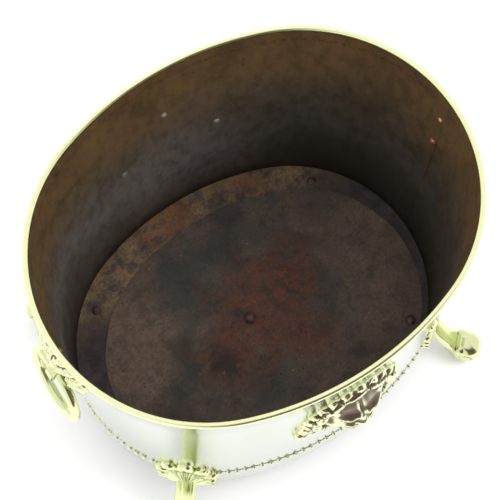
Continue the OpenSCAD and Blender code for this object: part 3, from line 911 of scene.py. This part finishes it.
class Stock:
    """The finishes, each brewed once."""

    def __init__(self) -> None:
        """Brews them all."""
        self.sheet = PolishedBrass().make()
        self.rim = PolishedBrass(
            "polished_rim", (0.92, 0.94, 0.56), (0.76, 0.64, 0.24), 0.20, 0.05 * MM
        ).make()
        self.beads = CastBrass("bead_strip_brass", (0.74, 0.78, 0.60), rough=0.26).make()
        self.cast = CastBrass().make()
        # The masks' hollow colour, a lighter brown, is also the colour of the painted dark
        # reflection on their tops.
        self.mask = CastBrass("mask_brass", hollow_patina_and_shade=(0.115, 0.078, 0.060), dull=0.16).make()
        self.plain = CastBrass("turned_brass", hollow=False).make()
        self.inside = AgedInside().make()
        self.floor = AgedFloor("floor_pan_patina", True).make()
        self.liner = AgedFloor("liner_patina").make()
        self.copper = OldCopper().make()
        self.iron = OldCopper("iron_wire", (0.14, 0.13, 0.12), (0.10, 0.05, 0.03), 0.7).make()
        self.steel = OldCopper(
            "old_screws", (0.15, 0.080, 0.062), (0.070, 0.040, 0.034), 0.2
        ).make()
        self.rubbed = OldCopper(
            "rubbed_rivets", (0.52, 0.47, 0.42), (0.22, 0.17, 0.13), 0.6
        ).make()


# ---- the camera, the floor and the light ----


@dataclass
class Studio:
    """A white table, white surroundings and the camera."""

    eye: Colour = (-0.1730, -0.2534, 1.0776)
    right: Colour = (0.83985324, -0.54279282, 0.00474149)
    up: Colour = (0.51099431, 0.79353839, 0.33042644)
    lens: float = 97.7
    floor_size: float = 2.6
    light: float = 1.40
    sheen: float = 1.02
    lamp_at: Colour = (1.30, -0.95, 2.0)
    lamp_size: float = 1.0
    lamp_power: float = 20.0
    sensor: float = 36.0
    dim: Colour = (0.13, 0.095, 0.075)

    def camera(self) -> None:
        """Sets the camera up over the near left-hand side."""
        right, up = Vector(self.right), Vector(self.up)
        turn = Matrix((right, up, right.cross(up))).transposed()
        data = bpy.data.cameras.new("camera")
        data.lens, data.sensor_width, data.sensor_fit = self.lens, self.sensor, "HORIZONTAL"
        data.clip_start, data.clip_end = 0.01, 50.0
        camera = bpy.data.objects.new("camera", data)
        camera.matrix_world = Matrix.Translation(Vector(self.eye)) @ turn.to_4x4()
        bpy.context.scene.collection.objects.link(camera)
        bpy.context.scene.camera = camera

    def table(self) -> None:
        """Lays the plain pale floor."""
        Bench.clear()
        bpy.ops.mesh.primitive_plane_add(size=self.floor_size, location=(0, 0, 0))
        table = Bench.named("table")
        brew = Brew("table_white")
        tone = brew.mix(brew.noise(3.0, 2.0) * 0.2, (0.93, 0.93, 0.93), (0.90, 0.90, 0.91))
        table.data.materials.append(brew.finish(tone, 0.7, 0.0))

    def lamp(self) -> None:
        """Hangs one large soft lamp over the right-hand front."""
        data = bpy.data.lights.new("softbox", "AREA")
        data.shape, data.size, data.energy = "SQUARE", self.lamp_size, self.lamp_power
        lamp = bpy.data.objects.new("softbox", data)
        lamp.visible_glossy = False
        place = Vector(self.lamp_at)
        turn = place.to_track_quat("Z", "Y").to_matrix().to_4x4()
        lamp.matrix_world = Matrix.Translation(place) @ turn
        bpy.context.scene.collection.objects.link(lamp)

    def surroundings(self) -> None:
        """White all round, with a dim room in front that only polished metal picks up."""
        world = bpy.data.worlds.new("white_room")
        bpy.context.scene.world = world
        brew = Brew.of_world(world)
        split = brew.node("ShaderNodeSeparateXYZ", {}, {"Vector": brew.place}).socket.node
        aside, ahead, rise = (Wire(brew, output) for output in split.outputs)
        share = (0.0 - ahead).ease(0.05, 0.30) * (1.0 - rise.ease(0.78, 0.92))
        share = share * rise.ease(-0.5, -0.2) * (1.0 - aside.size().ease(0.38, 0.58))
        tint = brew.mix(share, (self.sheen, self.sheen, self.sheen), self.dim)
        glossy = brew.node("ShaderNodeLightPath", {}, {}, "Is Glossy Ray")
        light = brew.mix(glossy, (self.light, self.light, self.light), tint)
        brew.node_out(brew.node("ShaderNodeBackground", {}, {"Color": light, "Strength": 1.0}))

    def build(self) -> None:
        """Builds the studio."""
        self.camera()
        self.table()
        self.lamp()
        self.surroundings()
        view = bpy.context.scene.view_settings
        view.view_transform, view.look, view.exposure, view.gamma = "Standard", "None", 0.0, 1.0


# ---- the sheet body ----


@dataclass
class Body:
    """The rolled wall and the beaded strip round its foot."""

    oval: Oval
    stock: Stock
    wire_gap_r: float = 1.25 * MM
    slit_x: float = 1.3 * MM
    band_z: float = 76 * MM
    band_half: float = 1.5 * MM
    band_t: float = 0.3 * MM
    bead_r: float = 2.2 * MM
    bead_pitch: float = 6.6 * MM
    gap_half: float = 23.5 * MM
    foot_turn: float = math.radians(47)
    inside_stop: float = 2.6 * MM
    seat: float = 0.05 * MM
    fillet_cut: float = 0.2 * MM
    bead_cut: float = 0.1 * MM
    bead_segments: int = 8
    bead_rings: int = 6

    def profile(self) -> list[Vector]:
        """The sheet's section at the right-hand end, up its inside, round the roll and down."""
        oval, middle, top = self.oval, self.oval.roll_r, self.oval.roll_z
        levels = [oval.base_z + share * (top - oval.base_z) for share in (0, 0.2, 0.4, 0.6, 0.8)]
        points = [(-oval.lean(z), z) for z in levels]
        outer_stop = -math.acos((self.slit_x - middle) / middle)
        inner_stop = -math.acos((self.slit_x - middle) / self.wire_gap_r)
        for radius, first, last, count in (
            (middle, math.pi, outer_stop, 18),
            (self.wire_gap_r, inner_stop, math.pi, 12),
        ):
            for step in range(count + 1):
                turn = first + (last - first) * step / count
                points.append((middle + radius * math.cos(turn), top + radius * math.sin(turn)))
        points += [(oval.face(z), z) for z in reversed(levels)]
        return [Vector((oval.half_length + x, 0.0, z)) for x, z in points]

    def wall(self) -> bpy.types.Object:
        """The wall and its rolled rim."""
        piece = Bench.thread("wall", self.profile(), closed=True)
        Bench.round_oval(self.oval)
        oval = self.oval

        def is_inside(middle: Vector, normal: Vector) -> bool:
            """Whether a face belongs to the wall's inside."""
            inward = normal.x * middle.x / oval.half_length**2
            inward += normal.y * middle.y / oval.half_width**2
            below = middle.z < oval.top_z - self.inside_stop
            return inward < 0 and below and abs(normal.z) < 0.5

        def is_rim(middle: Vector, normal: Vector) -> bool:
            """Whether a face belongs to the rolled rim."""
            in_roll = middle.z > oval.top_z - 2 * oval.roll_r - self.seat
            return in_roll and not is_inside(middle, normal)

        stock = self.stock
        Bench.dress(
            piece, (stock.sheet, lambda *_: True), (stock.inside, is_inside), (stock.rim, is_rim)
        )
        Bench.smooth(piece, 50)
        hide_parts("wall_shell")
        return piece

    def strip(self) -> bpy.types.Object:
        """The beaded strip: a thin fillet with a row of half-round beads, cut at the feet."""
        oval, z = self.oval, self.band_z
        face = oval.face(z) + self.seat
        bead = self.bead()
        beads = []
        total, count = oval.length(), round(oval.length() / self.bead_pitch)
        for index in range(count):
            place, heading = oval.along(total * (index + 0.5) / count, face)
            if self.free(place):
                copy = bead.copy()
                copy.data = bead.data.copy()
                bpy.context.scene.collection.objects.link(copy)
                turn = Matrix.Rotation(heading, 4, "Z")
                copy.data.transform(Matrix.Translation(place + Vector((0, 0, z))) @ turn)
                beads.append(copy)
        bpy.data.objects.remove(bead)
        half, thick, cut = self.band_half, self.band_t, self.fillet_cut
        section = [(0, -half), (thick, -half + cut), (thick, half - cut), (0, half)]
        points = [Vector((oval.half_length + face + x, 0.0, z + up)) for x, up in section]
        ring = Bench.thread("fillet", points, closed=True)
        Bench.round_oval(oval)
        Bench.select(ring, lambda middle, _: not self.free(middle))
        bpy.ops.mesh.delete(type="FACE")
        bpy.ops.mesh.select_all(action="SELECT")
        bpy.ops.mesh.select_mode(type="EDGE")
        bpy.ops.mesh.select_all(action="DESELECT")
        bpy.ops.mesh.select_non_manifold()
        bpy.ops.mesh.edge_face_add()
        bpy.ops.object.mode_set(mode="OBJECT")
        ring.data.materials.append(self.stock.sheet)
        piece = Bench.join([ring, *beads], "bead_strip")
        Bench.outward(piece)
        Bench.hollows(piece)
        Bench.smooth(piece, 45)
        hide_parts("beaded_band")
        return piece

    def bead(self) -> bpy.types.Object:
        """One bead lying on x = 0: the outer half of a slightly flattened ball."""
        tilt = (0, math.pi / 2, 0)
        bead = Bench.ball("bead", self.bead_segments, self.bead_rings, self.bead_r, tilt)
        Bench.edit_all()
        bpy.ops.mesh.bisect(
            plane_co=(self.bead_cut, 0, 0), plane_no=(1, 0, 0), clear_inner=True, use_fill=True
        )
        bpy.ops.object.mode_set(mode="OBJECT")
        bead.data.materials.append(self.stock.beads)
        return bead

    def free(self, place: Vector) -> bool:
        """Whether a place on the strip is clear of the feet."""
        for x_side in (-1, 1):
            for y_side in (-1, 1):
                turn = self.foot_turn
                out = Vector((x_side * math.cos(turn), y_side * math.sin(turn), 0.0))
                away = Vector((place.x - x_side * self.oval.end_x, place.y, 0.0))
                if away.dot(out) > 0 and (away - out * away.dot(out)).length < self.gap_half:
                    return False
        return True

    def build(self) -> list[bpy.types.Object]:
        """Builds the body's pieces."""
        return [self.wall(), self.strip()]


@dataclass
class Liner:
    """The worn sheet on the floor, its edge wavy and its middle slightly buckled."""

    oval: Oval
    stock: Stock
    inset: float = 13.5 * MM
    shift_x: float = 5 * MM
    shift_y: float = -9 * MM
    thick: float = 0.5 * MM
    rings: int = 26
    spokes: int = 168
    hole_r: float = 4.8 * MM
    screw_x: float = 102.7 * MM
    screw_y: float = 70.9 * MM
    rivet_x: float = -3.5 * MM
    rivet_hole_r: float = 2.5 * MM
    cut_back: float = 0.9 * MM
    ragged: float = 1.5 * MM
    nicks: float = 0.9 * MM
    buckle: float = 0.28 * MM
    lift: float = 0.9 * MM
    lift_from: float = 0.93
    clear: float = 0.02 * MM

    def edge(self, turn: float) -> float:
        """How far the liner's edge lies from its middle in one direction."""
        low, high = 0.0, 0.2
        for _ in range(24):
            middle = (low + high) / 2
            if self.inside(middle * math.cos(turn), middle * math.sin(turn)):
                low = middle
            else:
                high = middle
        ragged = noise.noise(Vector((3 * math.cos(turn), 3 * math.sin(turn), 0.7)))
        nick = noise.noise(Vector((14 * math.cos(turn), 14 * math.sin(turn), 2.3)))
        return low - self.cut_back + self.ragged * ragged - self.nicks * abs(nick)

    def inside(self, x: float, y: float) -> bool:
        """Whether a point lies inside the liner's true oval."""
        off = -self.oval.taper - self.inset
        oval = self.oval
        past_end = abs(x) - oval.end_x
        if abs(math.atan2(y, past_end)) < oval.join and past_end > 0:
            return math.hypot(past_end, y) < oval.end_r + off
        return math.hypot(x, abs(y) + oval.side_y) < oval.side_r + off

    def build(self) -> list[bpy.types.Object]:
        """Builds the liner."""
        piece = Bench.disc("floor_liner_sheet", self.spokes, self.rings)

        def place(at: Vector) -> Vector:
            """Where a point of the plain disc goes on the floor."""
            turn, reach = math.atan2(at.y, at.x), math.hypot(at.x, at.y)
            out = self.edge(turn) * reach
            wide = noise.noise(Vector((at.x * 3.1, at.y * 3.1, 4.2)))
            buckle = wide + 0.5 * noise.noise(Vector((at.x * 7, at.y * 7, 1.0)))
            raised = self.lift * beyond(reach, self.lift_from, 1 - self.lift_from)
            raised *= 0.55 + 0.45 * math.sin(5 * turn + 1.0)
            up = self.oval.floor_z + self.clear + raised
            up += max(0.0, self.buckle * buckle) * (1 - reach**6)
            x, y = out * math.cos(turn), out * math.sin(turn)
            return Vector((self.shift_x + x, self.shift_y + y, up))

        Bench.move(piece, place)
        Bench.modify(piece, "SOLIDIFY", thickness=self.thick, offset=1.0, use_even_offset=False)
        Bench.outward(piece)
        sides = ((-1, -1), (-1, 1), (1, -1), (1, 1))
        holes = [(x * self.screw_x, y * self.screw_y, self.hole_r) for x, y in sides]
        for x, y, radius in [*holes, (self.rivet_x, 0.0, self.rivet_hole_r)]:
            Bench.clear()
            place_at = (x, y, self.oval.floor_z)
            bpy.ops.mesh.primitive_cylinder_add(
                vertices=32, radius=radius, depth=10 * MM, location=place_at
            )
            punch = Bench.named("punch")
            Bench.modify(piece, "BOOLEAN", operation="DIFFERENCE", object=punch, solver="EXACT")
            bpy.data.objects.remove(punch)
        piece.data.materials.clear()
        piece.data.materials.append(self.stock.liner)
        Bench.smooth(piece, 30)
        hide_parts("floor_liner")
        return [piece]


# ---- castings ----


@dataclass
class Relief:
    """A casting in relief on the wall, described by its outline and its height."""

    seat: Seat
    middle_z: float
    spokes: int
    rings: int
    seat_gap: float = 0.05 * MM
    least: float = 0.3 * MM
    # How much a painted dark reflection darkens the faces that look up.
    top_dark_reflection: float = 0.0

    def outline(self, turn: float) -> float:
        """How far the edge lies from the middle in one direction, in millimetres."""
        raise NotImplementedError

    def height(self, across: float, up: float) -> float:
        """How far the casting stands out from the wall at one place, in millimetres."""
        raise NotImplementedError

    def build(self, name: str) -> bpy.types.Object:
        """Spins a disc, pulls it to the outline and height, and turns its edge to the wall.

        Args:
            name: the piece's name.

        Returns:
            The casting, closed.
        """
        piece = Bench.disc(name, self.spokes, self.rings)
        bpy.context.view_layer.objects.active = piece
        Bench.edit_all()
        bpy.ops.mesh.extrude_region_move(TRANSFORM_OT_translate={"value": (0, 0, -1)})
        bpy.ops.mesh.select_all(action="SELECT")
        bpy.ops.mesh.normals_make_consistent(inside=False)
        bpy.ops.object.mode_set(mode="OBJECT")

        def place(at: Vector) -> Vector:
            """Where a point of the plain disc goes on the wall."""
            turn, reach = math.atan2(at.y, at.x), min(1.0, math.hypot(at.x, at.y))
            out = self.outline(turn) * reach**0.9
            across, up = out * math.cos(turn), out * math.sin(turn)
            proud = self.seat_gap
            if at.z >= -0.5:
                proud = max(self.seat_gap + self.least, self.height(across, up) * MM)
            return self.seat.put(across * MM, self.middle_z + up * MM, proud)

        Bench.move(piece, place)
        Bench.outward(piece)
        # Hollows with painted shade and, where asked for, a painted dark reflection on faces that
        # look up.
        Bench.hollows(piece, self.top_dark_reflection)
        Bench.smooth(piece, 60)
        return piece


def hump(across: float, up: float, at: Point, reach: Point, rise: float) -> float:
    """A soft round hump of the given rise about a place."""
    return rise * math.exp(-(((across - at[0]) / reach[0]) ** 2) - ((up - at[1]) / reach[1]) ** 2)


# The humps and hollows of a lion's face on one half: place, reach and rise in millimetres
FACE = (
    ((0.0, 15.0), (13.0, 8.0), 2.0),  # forehead
    ((0.0, 15.0), (1.6, 9.0), -1.6),  # furrow
    ((9.5, 9.6), (6.5, 3.2), 4.6),  # brow
    ((3.2, 8.0), (2.4, 5.0), 2.2),
    ((9.0, 3.4), (5.0, 3.0), -4.6),  # eye socket
    ((8.6, 3.0), (2.5, 1.8), 2.6),  # eye
    ((0.0, -1.0), (3.6, 8.5), 5.4),  # bridge of the nose
    ((0.0, -8.6), (5.6, 3.2), 4.6),  # tip of the nose
    ((3.1, -10.6), (1.4, 1.1), -2.4),  # nostril
    ((6.6, -14.6), (6.4, 5.0), 7.0),  # muzzle
    ((0.0, -15.0), (1.0, 4.2), -3.4),
    ((4.0, -20.6), (6.6, 1.5), -6.0),  # mouth
    ((0.0, -25.4), (6.5, 3.6), 5.4),  # chin
    ((16.5, -5.0), (5.5, 8.0), 2.8),  # cheek
    ((20.0, 4.0), (3.6, 8.0), -2.2),
    ((21.0, 18.0), (5.4, 5.4), 5.0),  # ear
    ((21.0, 17.6), (2.6, 3.0), -4.4),
)


def lion_face(across: float, up: float, scale: float) -> float:
    """Height of a lion's face about its middle, in millimetres, of half-width 24 at scale 1."""
    u, v = abs(across) / scale, up / scale
    total = 9.0 * max(0.0, 1 - (u / 27) ** 2 - ((v + 1) / 31) ** 2) ** 0.6
    for at, reach, rise in FACE:
        total += hump(u, v, at, reach, rise)
    if 4 <= u <= 12:
        total -= sum(0.5 * bell(v + 12.6 + row * 2.2, 0.5) for row in range(3))
    return total * scale


def locks(turn: float, reach: float, count: int, twist: float, seed: float) -> float:
    """The mane's locks: twisted ridges that run outwards, 0 in a groove and 1 on a ridge."""
    phase = count * turn / (2 * math.pi) + twist * reach + seed
    wave = abs(math.sin(math.pi * phase))
    strands = 0.5 + 0.5 * math.sin(6 * math.pi * phase + reach * 1.7)
    return wave**0.7 * (0.84 + 0.16 * strands)


@dataclass
class SideMask(Relief):
    """The lion mask of a long side, its mane ending in a leaf on each side."""

    mane_r: float = 39.0
    tip_turn: float = math.radians(-36)
    tip_reach: float = 54.0

    def tip(self, turn: float) -> float:
        """How much a direction belongs to one of the two leaves."""
        off = min(abs(turn - self.tip_turn), abs(turn - (-math.pi - self.tip_turn)))
        return bell(off, math.radians(12))

    def outline(self, turn: float) -> float:
        """Scalloped mane with two feathered leaves."""
        lobes = abs(math.sin(11 * turn + 0.6))
        leaf = self.tip(turn)
        fingers = abs(math.sin(30 * turn))
        mane = self.mane_r - 4.2 * (1 - lobes**0.6)
        return mane + leaf * (self.tip_reach - self.mane_r - 3.6 * (1 - fingers**0.7) * leaf)

    def height(self, across: float, up: float) -> float:
        """The face inside two rows of locks, and the leaves' ribs."""
        turn, reach = math.atan2(up, across), math.hypot(across, up)
        edge = self.outline(turn)
        share = reach / edge
        low = clamp((4.0 - up) / 16.0)
        outer = (2.6 + 1.6 * low) * locks(turn, reach, 17, 0.035, 0.3)
        outer = 2.6 + outer * (1 - beyond(share, 0.72, 0.28) ** 2 * 0.75)
        inner = (3.4 + 2.2 * low) * locks(turn, reach, 11, -0.05, 0.1)
        inner = 5.2 + inner * (1 - clamp((reach - 24) / 11))
        leaf = self.tip(turn) * clamp((reach - 30) / 8)
        ribs = 1.6 + 2.2 * abs(math.sin(30 * turn)) ** 0.6
        hair = max(outer, inner if reach < 33 else 0.0)
        hair = hair * (1 - leaf) + ribs * leaf
        face = lion_face(across, up + 1.5, 1.0) * 1.12
        blend = clamp((27.5 - math.hypot(across, (up + 2) * 0.86)) / 3.0)
        fall = 1 - beyond(share, 0.93, 0.07) * 0.6
        boss = hump(abs(across), up, (40.0, -29.0), (4.2, 4.2), 2.0)
        return (hair * (1 - blend) + max(face, 2.0) * blend) * fall + boss


@dataclass
class EndMask(Relief):
    """The small lion mask of an end, low round the ring's eye and where the ring lies."""

    mane_r: float = 28.5
    eye_down: float = 20.0
    ring_r: float = 26.0
    ring_half: float = 4.6
    pad_across: float = 18.76
    pad_down: float = 28.0

    def outline(self, turn: float) -> float:
        """Scalloped mane with two long locks at the bottom."""
        lobes = abs(math.sin(9 * turn + 0.4))
        mane = self.mane_r - 3.2 * (1 - lobes**0.6)
        for side in (-1, 1):
            lock = math.atan2(-self.pad_down, side * self.pad_across)
            off = abs(math.atan2(math.sin(turn - lock), math.cos(turn - lock)))
            mane += 8.0 * bell(off, math.radians(13))
        return mane

    def height(self, across: float, up: float) -> float:
        """The face inside the mane, kept low round the eye and along the ring."""
        turn, reach = math.atan2(up, across), math.hypot(across, up)
        share = reach / self.outline(turn)
        outer = 3.6 * locks(turn, reach, 16, 0.05, 0.2)
        hair = 2.0 + outer * (1 - beyond(share, 0.75, 0.25) ** 2 * 0.7)
        hair += 2.2 * locks(turn, reach, 13, -0.06, 0.0) * max(0.0, 1 - abs(reach - 18) / 7)
        face = lion_face(across, up - 3.0, 0.62) * 0.95
        blend = clamp((17.0 - math.hypot(across, (up - 2) * 0.9)) / 2.4)
        total = hair * (1 - blend) + max(face, 1.8) * blend
        ring = abs(math.hypot(across, up + self.eye_down + self.ring_r) - self.ring_r)
        if ring < self.ring_half + 1 and up < -self.eye_down + 6:
            down = max(0.0, -up - self.eye_down)
            total = min(total, 2.9 + 0.150 * down)
        eye = math.hypot(across, up + self.eye_down)
        if eye < 12:
            total = min(total, 0.6 + max(0.0, eye - 8.0) * 2.0)
        return max(total, 0.5) * (1 - beyond(share, 0.93, 0.07) * 0.5)


@dataclass
class Palmette(Relief):
    """The fan of leaves at the top of a foot."""

    most: int = 4
    step: float = math.radians(21)
    half_w: float = 23.0
    top: float = 48.5
    root_w: float = 10.5

    def split(self, turn: float) -> tuple[float, float]:
        """Which petal a direction belongs to, and how far from its middle, from -1 to 1."""
        off = math.atan2(math.sin(turn - math.pi / 2), math.cos(turn - math.pi / 2)) / self.step
        petal = max(-self.most, min(self.most, round(off)))
        return petal, 2 * (off - petal)

    def outline(self, turn: float) -> float:
        """Nine rounded petals above and a narrow root below."""
        petal, off = self.split(turn)
        long = self.top * (1 - 0.105 * abs(petal))
        long = min(long, self.half_w / max(0.05, abs(math.sin(petal * self.step))))
        if abs(off) > 1:
            return self.root_w
        return long * (0.74 + 0.26 * math.sqrt(max(0.0, 1 - off * off)))

    def height(self, across: float, up: float) -> float:
        """Ribbed petals that rise to the root."""
        turn, reach = math.atan2(up, across), math.hypot(across, up)
        _, off = self.split(turn)
        share = reach / self.outline(turn)
        swell = max(0.0, 1 - off * off) ** 0.5 * min(1.0, reach / 9)
        rib = bell(off, 0.13) * min(1.0, reach / 14)
        curl = bell(share - 0.9, 0.12)
        base = 1.2 + 4.6 * max(0.0, 1 - reach / 34)
        total = base + 2.3 * swell - 0.9 * rib + 1.2 * curl * swell
        return total * (1 - beyond(share, 0.94, 0.06) * 0.5)


@dataclass
class Foot:
    """A cast foot: a palmette on the wall, a ribbed leg and a scrolled toe."""

    oval: Oval
    stock: Stock
    x_side: int
    y_side: int
    turn: float = math.radians(47)
    fan_z: float = 51 * MM
    leg_half: float = 8.9 * MM
    leg_t: float = 7.6 * MM
    toe_out: float = 37.5 * MM
    toe_r: float = 12.9 * MM
    toe_z: float = 12 * MM
    curl_r: float = 6.6 * MM
    curl_w: float = 11.2 * MM
    curl_back: float = 5.0 * MM
    curl_down: float = 6.4 * MM
    dish: float = 0.8 * MM
    dish_out: float = 4.4 * MM
    dish_r: float = 5.6 * MM
    dish_w: float = 7.5 * MM
    groove: float = 1.7 * MM
    midrib: float = 0.9 * MM
    side_rib: float = 0.6 * MM
    lug_r: float = 7.4 * MM
    lug_t: float = 5 * MM
    lug_round: float = 0.8 * MM
    lug_reach: float = 15 * MM
    screw_in: float = 12 * MM
    # A painted dark reflection on the faces that look up, above the given height.
    top_dark_reflection: float = 0.30
    top_dark_reflection_z: float = 80 * MM

    def seat(self) -> Seat:
        """The foot's place on the end arc."""
        sign = self.y_side * self.x_side
        return Seat.on_end(self.oval, self.x_side, sign * self.turn)

    def put(self, out: float, along: float, z: float) -> Vector:
        """A point out from the floor's edge, across the foot and at height z."""
        seat = self.seat()
        ahead = Vector((math.cos(seat.heading), math.sin(seat.heading), 0.0))
        aside = Vector((-ahead.y, ahead.x, 0.0))
        reach = seat.radius - self.oval.taper + out
        return Vector((seat.centre[0], seat.centre[1], z)) + ahead * reach + aside * along

    def spine(self, share: float) -> tuple[Point, Point]:
        """A point on the leg's middle line and the direction along it, in metres."""
        points = [(4.6, 63.0), (7.4, 44.0), (12.5, 29.0), (31.0, 12.0)]
        rest = 1 - share
        way = [rest**3, 3 * rest**2 * share, 3 * rest * share**2, share**3]
        at = [sum(k * p[i] for k, p in zip(way, points)) for i in (0, 1)]
        steps = [rest**2, 2 * rest * share, share**2]
        pairs = list(zip(steps, points, points[1:]))
        run = [sum(k * (b[i] - a[i]) for k, a, b in pairs) for i in (0, 1)]
        size = math.hypot(*run)
        return (at[0] * MM, at[1] * MM), (run[0] / size, run[1] / size)

    def leg(self, count: int = 26, sides: int = 28) -> bpy.types.Object:
        """The leg, extruded ring after ring along its spine with a midrib and two side ribs."""
        Bench.clear()
        bpy.ops.mesh.primitive_circle_add(vertices=sides, radius=1.0, fill_type="NGON")
        piece = Bench.named("leg")
        bpy.ops.object.mode_set(mode="EDIT")
        bpy.ops.mesh.select_all(action="SELECT")
        self.ring(piece, 0.0)
        for step in range(1, count + 1):
            bpy.ops.mesh.extrude_region_move(TRANSFORM_OT_translate={"value": (0, 0, 0)})
            self.ring(piece, step / count)
        bpy.ops.object.mode_set(mode="OBJECT")
        return piece

    def ring(self, piece: bpy.types.Object, share: float) -> None:
        """Puts the selected ring of vertices at its place along the leg."""
        (out, z), (run_out, run_z) = self.spine(share)
        half = self.leg_half * (0.94 + 0.06 * (2 * share - 1) ** 2) * (0.95 + 0.05 * share)
        thick = self.leg_t * (0.55 + 0.45 * share)
        mesh = bmesh.from_edit_mesh(piece.data)
        chosen = [vertex for vertex in mesh.verts if vertex.select]
        order = sorted(chosen, key=lambda vertex: vertex.index)
        for number, vertex in enumerate(order):
            angle = 2 * math.pi * number / len(order)
            across = bulged(math.sin(angle), 0.8)
            front = bulged(math.cos(angle), 0.7)
            ribs = self.midrib * bell(across, 0.16) + self.side_rib * bell(abs(across) - 0.72, 0.16)
            proud = front * thick / 2 + (ribs if front > 0 else 0.0)
            vertex.co = self.put(out - run_z * proud, across * half, z + run_out * proud)
        bmesh.update_edit_mesh(piece.data)

    def toe(self) -> bpy.types.Object:
        """The scrolled toe: rounded, flat below, dished on top, a volute cut in each side."""
        piece = Bench.ball("toe", 56, 36, 1.0, (math.pi / 2, 0, 0))

        def place(at: Vector) -> Vector:
            """Where a point of the plain ball goes on the toe."""
            out, along, up = (bulged(c, 0.90) for c in at)
            shrink = min(1.0, 1.0 / max(1e-6, math.hypot(out, up))) * self.toe_r
            out, along, up = out * shrink, along * self.toe_r * 0.95, up * shrink
            reach = math.hypot(out, up) / self.toe_r
            spiral = abs(math.sin(math.pi * (reach * 1.9 + math.atan2(up, out) / (2 * math.pi))))
            side = clamp((abs(along) / self.toe_r - 0.55) / 0.2) * min(1.0, reach * 2)
            along -= math.copysign(self.groove * (1 - min(1.0, spiral * 2.2)) * side, along)
            dish = hump(out, along, (self.dish_out, 0.0), (self.dish_r, self.dish_w), self.dish)
            up -= dish * max(0.0, up / self.toe_r)
            return self.put(self.toe_out + out, along, max(0.0, self.toe_z + up))

        Bench.move(piece, place)
        return piece

    def curl(self) -> bpy.types.Object:
        """The leaf's tip rolled back on top of the toe."""
        piece = Bench.ball("curl", 36, 20, 1.0, (math.pi / 2, 0, 0))

        def place(at: Vector) -> Vector:
            """Where a point of the plain ball goes on the curl."""
            out = self.toe_out - self.curl_back + at.x * self.curl_r
            up = self.toe_z + self.toe_r - self.curl_down + at.z * self.curl_r * 0.8
            return self.put(out, bulged(at.y, 0.6) * self.curl_w, up)

        Bench.move(piece, place)
        return piece

    def lug(self) -> bpy.types.Object:
        """The lug under the floor that the screw holds."""
        Bench.clear()
        bpy.ops.mesh.primitive_cylinder_add(
            vertices=28, radius=self.lug_r, depth=self.lug_t, location=(0, 0, 0)
        )
        piece = Bench.named("lug")
        Bench.edit_all()
        bpy.ops.mesh.bevel(offset=self.lug_round, segments=2)
        bpy.ops.object.mode_set(mode="OBJECT")

        def place(at: Vector) -> Vector:
            """Where a point of the plain puck goes under the floor."""
            stretch = self.lug_reach if at.x > 0 else 0.0
            middle = self.oval.base_z - self.lug_t / 2
            return self.put(at.x + stretch - self.screw_in, at.y, middle + at.z)

        Bench.move(piece, place)
        return piece

    def build(self) -> list[bpy.types.Object]:
        """Builds the foot as one casting."""
        ends = "right" if self.x_side > 0 else "left"
        sides = "back" if self.y_side > 0 else "front"
        fan = Palmette(self.seat(), self.fan_z, 168, 26).build("fan")
        parts = [fan, self.leg(), self.toe(), self.curl(), self.lug()]
        piece = Bench.join(parts, f"leaf_foot_{sides}_{ends}")
        Bench.outward(piece)
        attribute = piece.data.color_attributes.get("hollow")
        if attribute:
            piece.data.color_attributes.remove(attribute)
        # Hollows with painted shade, and a painted dark reflection on the upward faces high on the
        # fan.
        Bench.hollows(piece, self.top_dark_reflection, self.top_dark_reflection_z)
        piece.data.materials.clear()
        piece.data.materials.append(self.stock.cast)
        Bench.smooth(piece, 50)
        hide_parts(f"foot_{sides}_{ends}")
        return [piece]


@dataclass
class Masks:
    """The four lion masks."""

    oval: Oval
    stock: Stock
    side_z: float = 186 * MM
    end_z: float = 222 * MM

    def build(self) -> list[bpy.types.Object]:
        """Builds the masks."""
        pieces = []
        for y_side, place in ((-1, "front"), (1, "back")):
            seat = Seat.on_side(self.oval, y_side)
            # The side masks get a painted dark reflection on the faces that look up.
            piece = SideMask(seat, self.side_z, 240, 56, top_dark_reflection=0.36).build(f"lion_mask_{place}")
            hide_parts(f"ornament_{place}")
            pieces.append(piece)
        for x_side, place in ((-1, "left"), (1, "right")):
            seat = Seat.on_end(self.oval, x_side)
            piece = EndMask(seat, self.end_z, 200, 46).build(f"ring_mask_{place}")
            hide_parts(f"handle_mask_{place}")
            pieces.append(piece)
        for piece in pieces:
            piece.data.materials.append(self.stock.mask)
        return pieces


@dataclass
class Fixings:
    """The CAD pieces that stay as they are and get their finishes."""

    stock: Stock
    wall_x: float = 149 * MM

    def build(self) -> None:
        """Dresses them."""
        stock = self.stock
        for material, nodes in (
            (stock.floor, ("floor_pan",)),
            (stock.rubbed, ("ornament_rivets",)),
            (stock.copper, ("handle_rivets",)),
            (stock.steel, ("foot_screws", "centre_rivet")),
            (stock.iron, ("rim_wire",)),
            (stock.plain, ("ring_eye_left", "ring_eye_right", "ring_left", "ring_right")),
        ):
            for node in nodes:
                piece = bpy.data.objects[node]
                piece.data.materials.clear()
                piece.data.materials.append(material)
                Bench.smooth(piece, 40)
        for node in ("ring_eye_left", "ring_eye_right"):
            piece = bpy.data.objects[node]
            piece.data.materials.append(stock.copper)
            for face in piece.data.polygons:
                face.material_index = int(abs(face.center.x) < self.wall_x)


def main() -> None:
    """Builds the wastebasket and its studio."""
    logging.basicConfig(level=logging.INFO, format="%(message)s")
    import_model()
    Studio().build()
    oval, stock = Oval(), Stock()
    pieces = Body(oval, stock).build() + Liner(oval, stock).build()
    for x_side in (-1, 1):
        for y_side in (-1, 1):
            pieces += Foot(oval, stock, x_side, y_side).build()
    pieces += Masks(oval, stock).build()
    for piece in pieces:
        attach(piece, "bin")
        log.info("%s: %d faces", piece.name, len(piece.data.polygons))
    Fixings(stock).build()


if __name__ == "__main__":
    main()
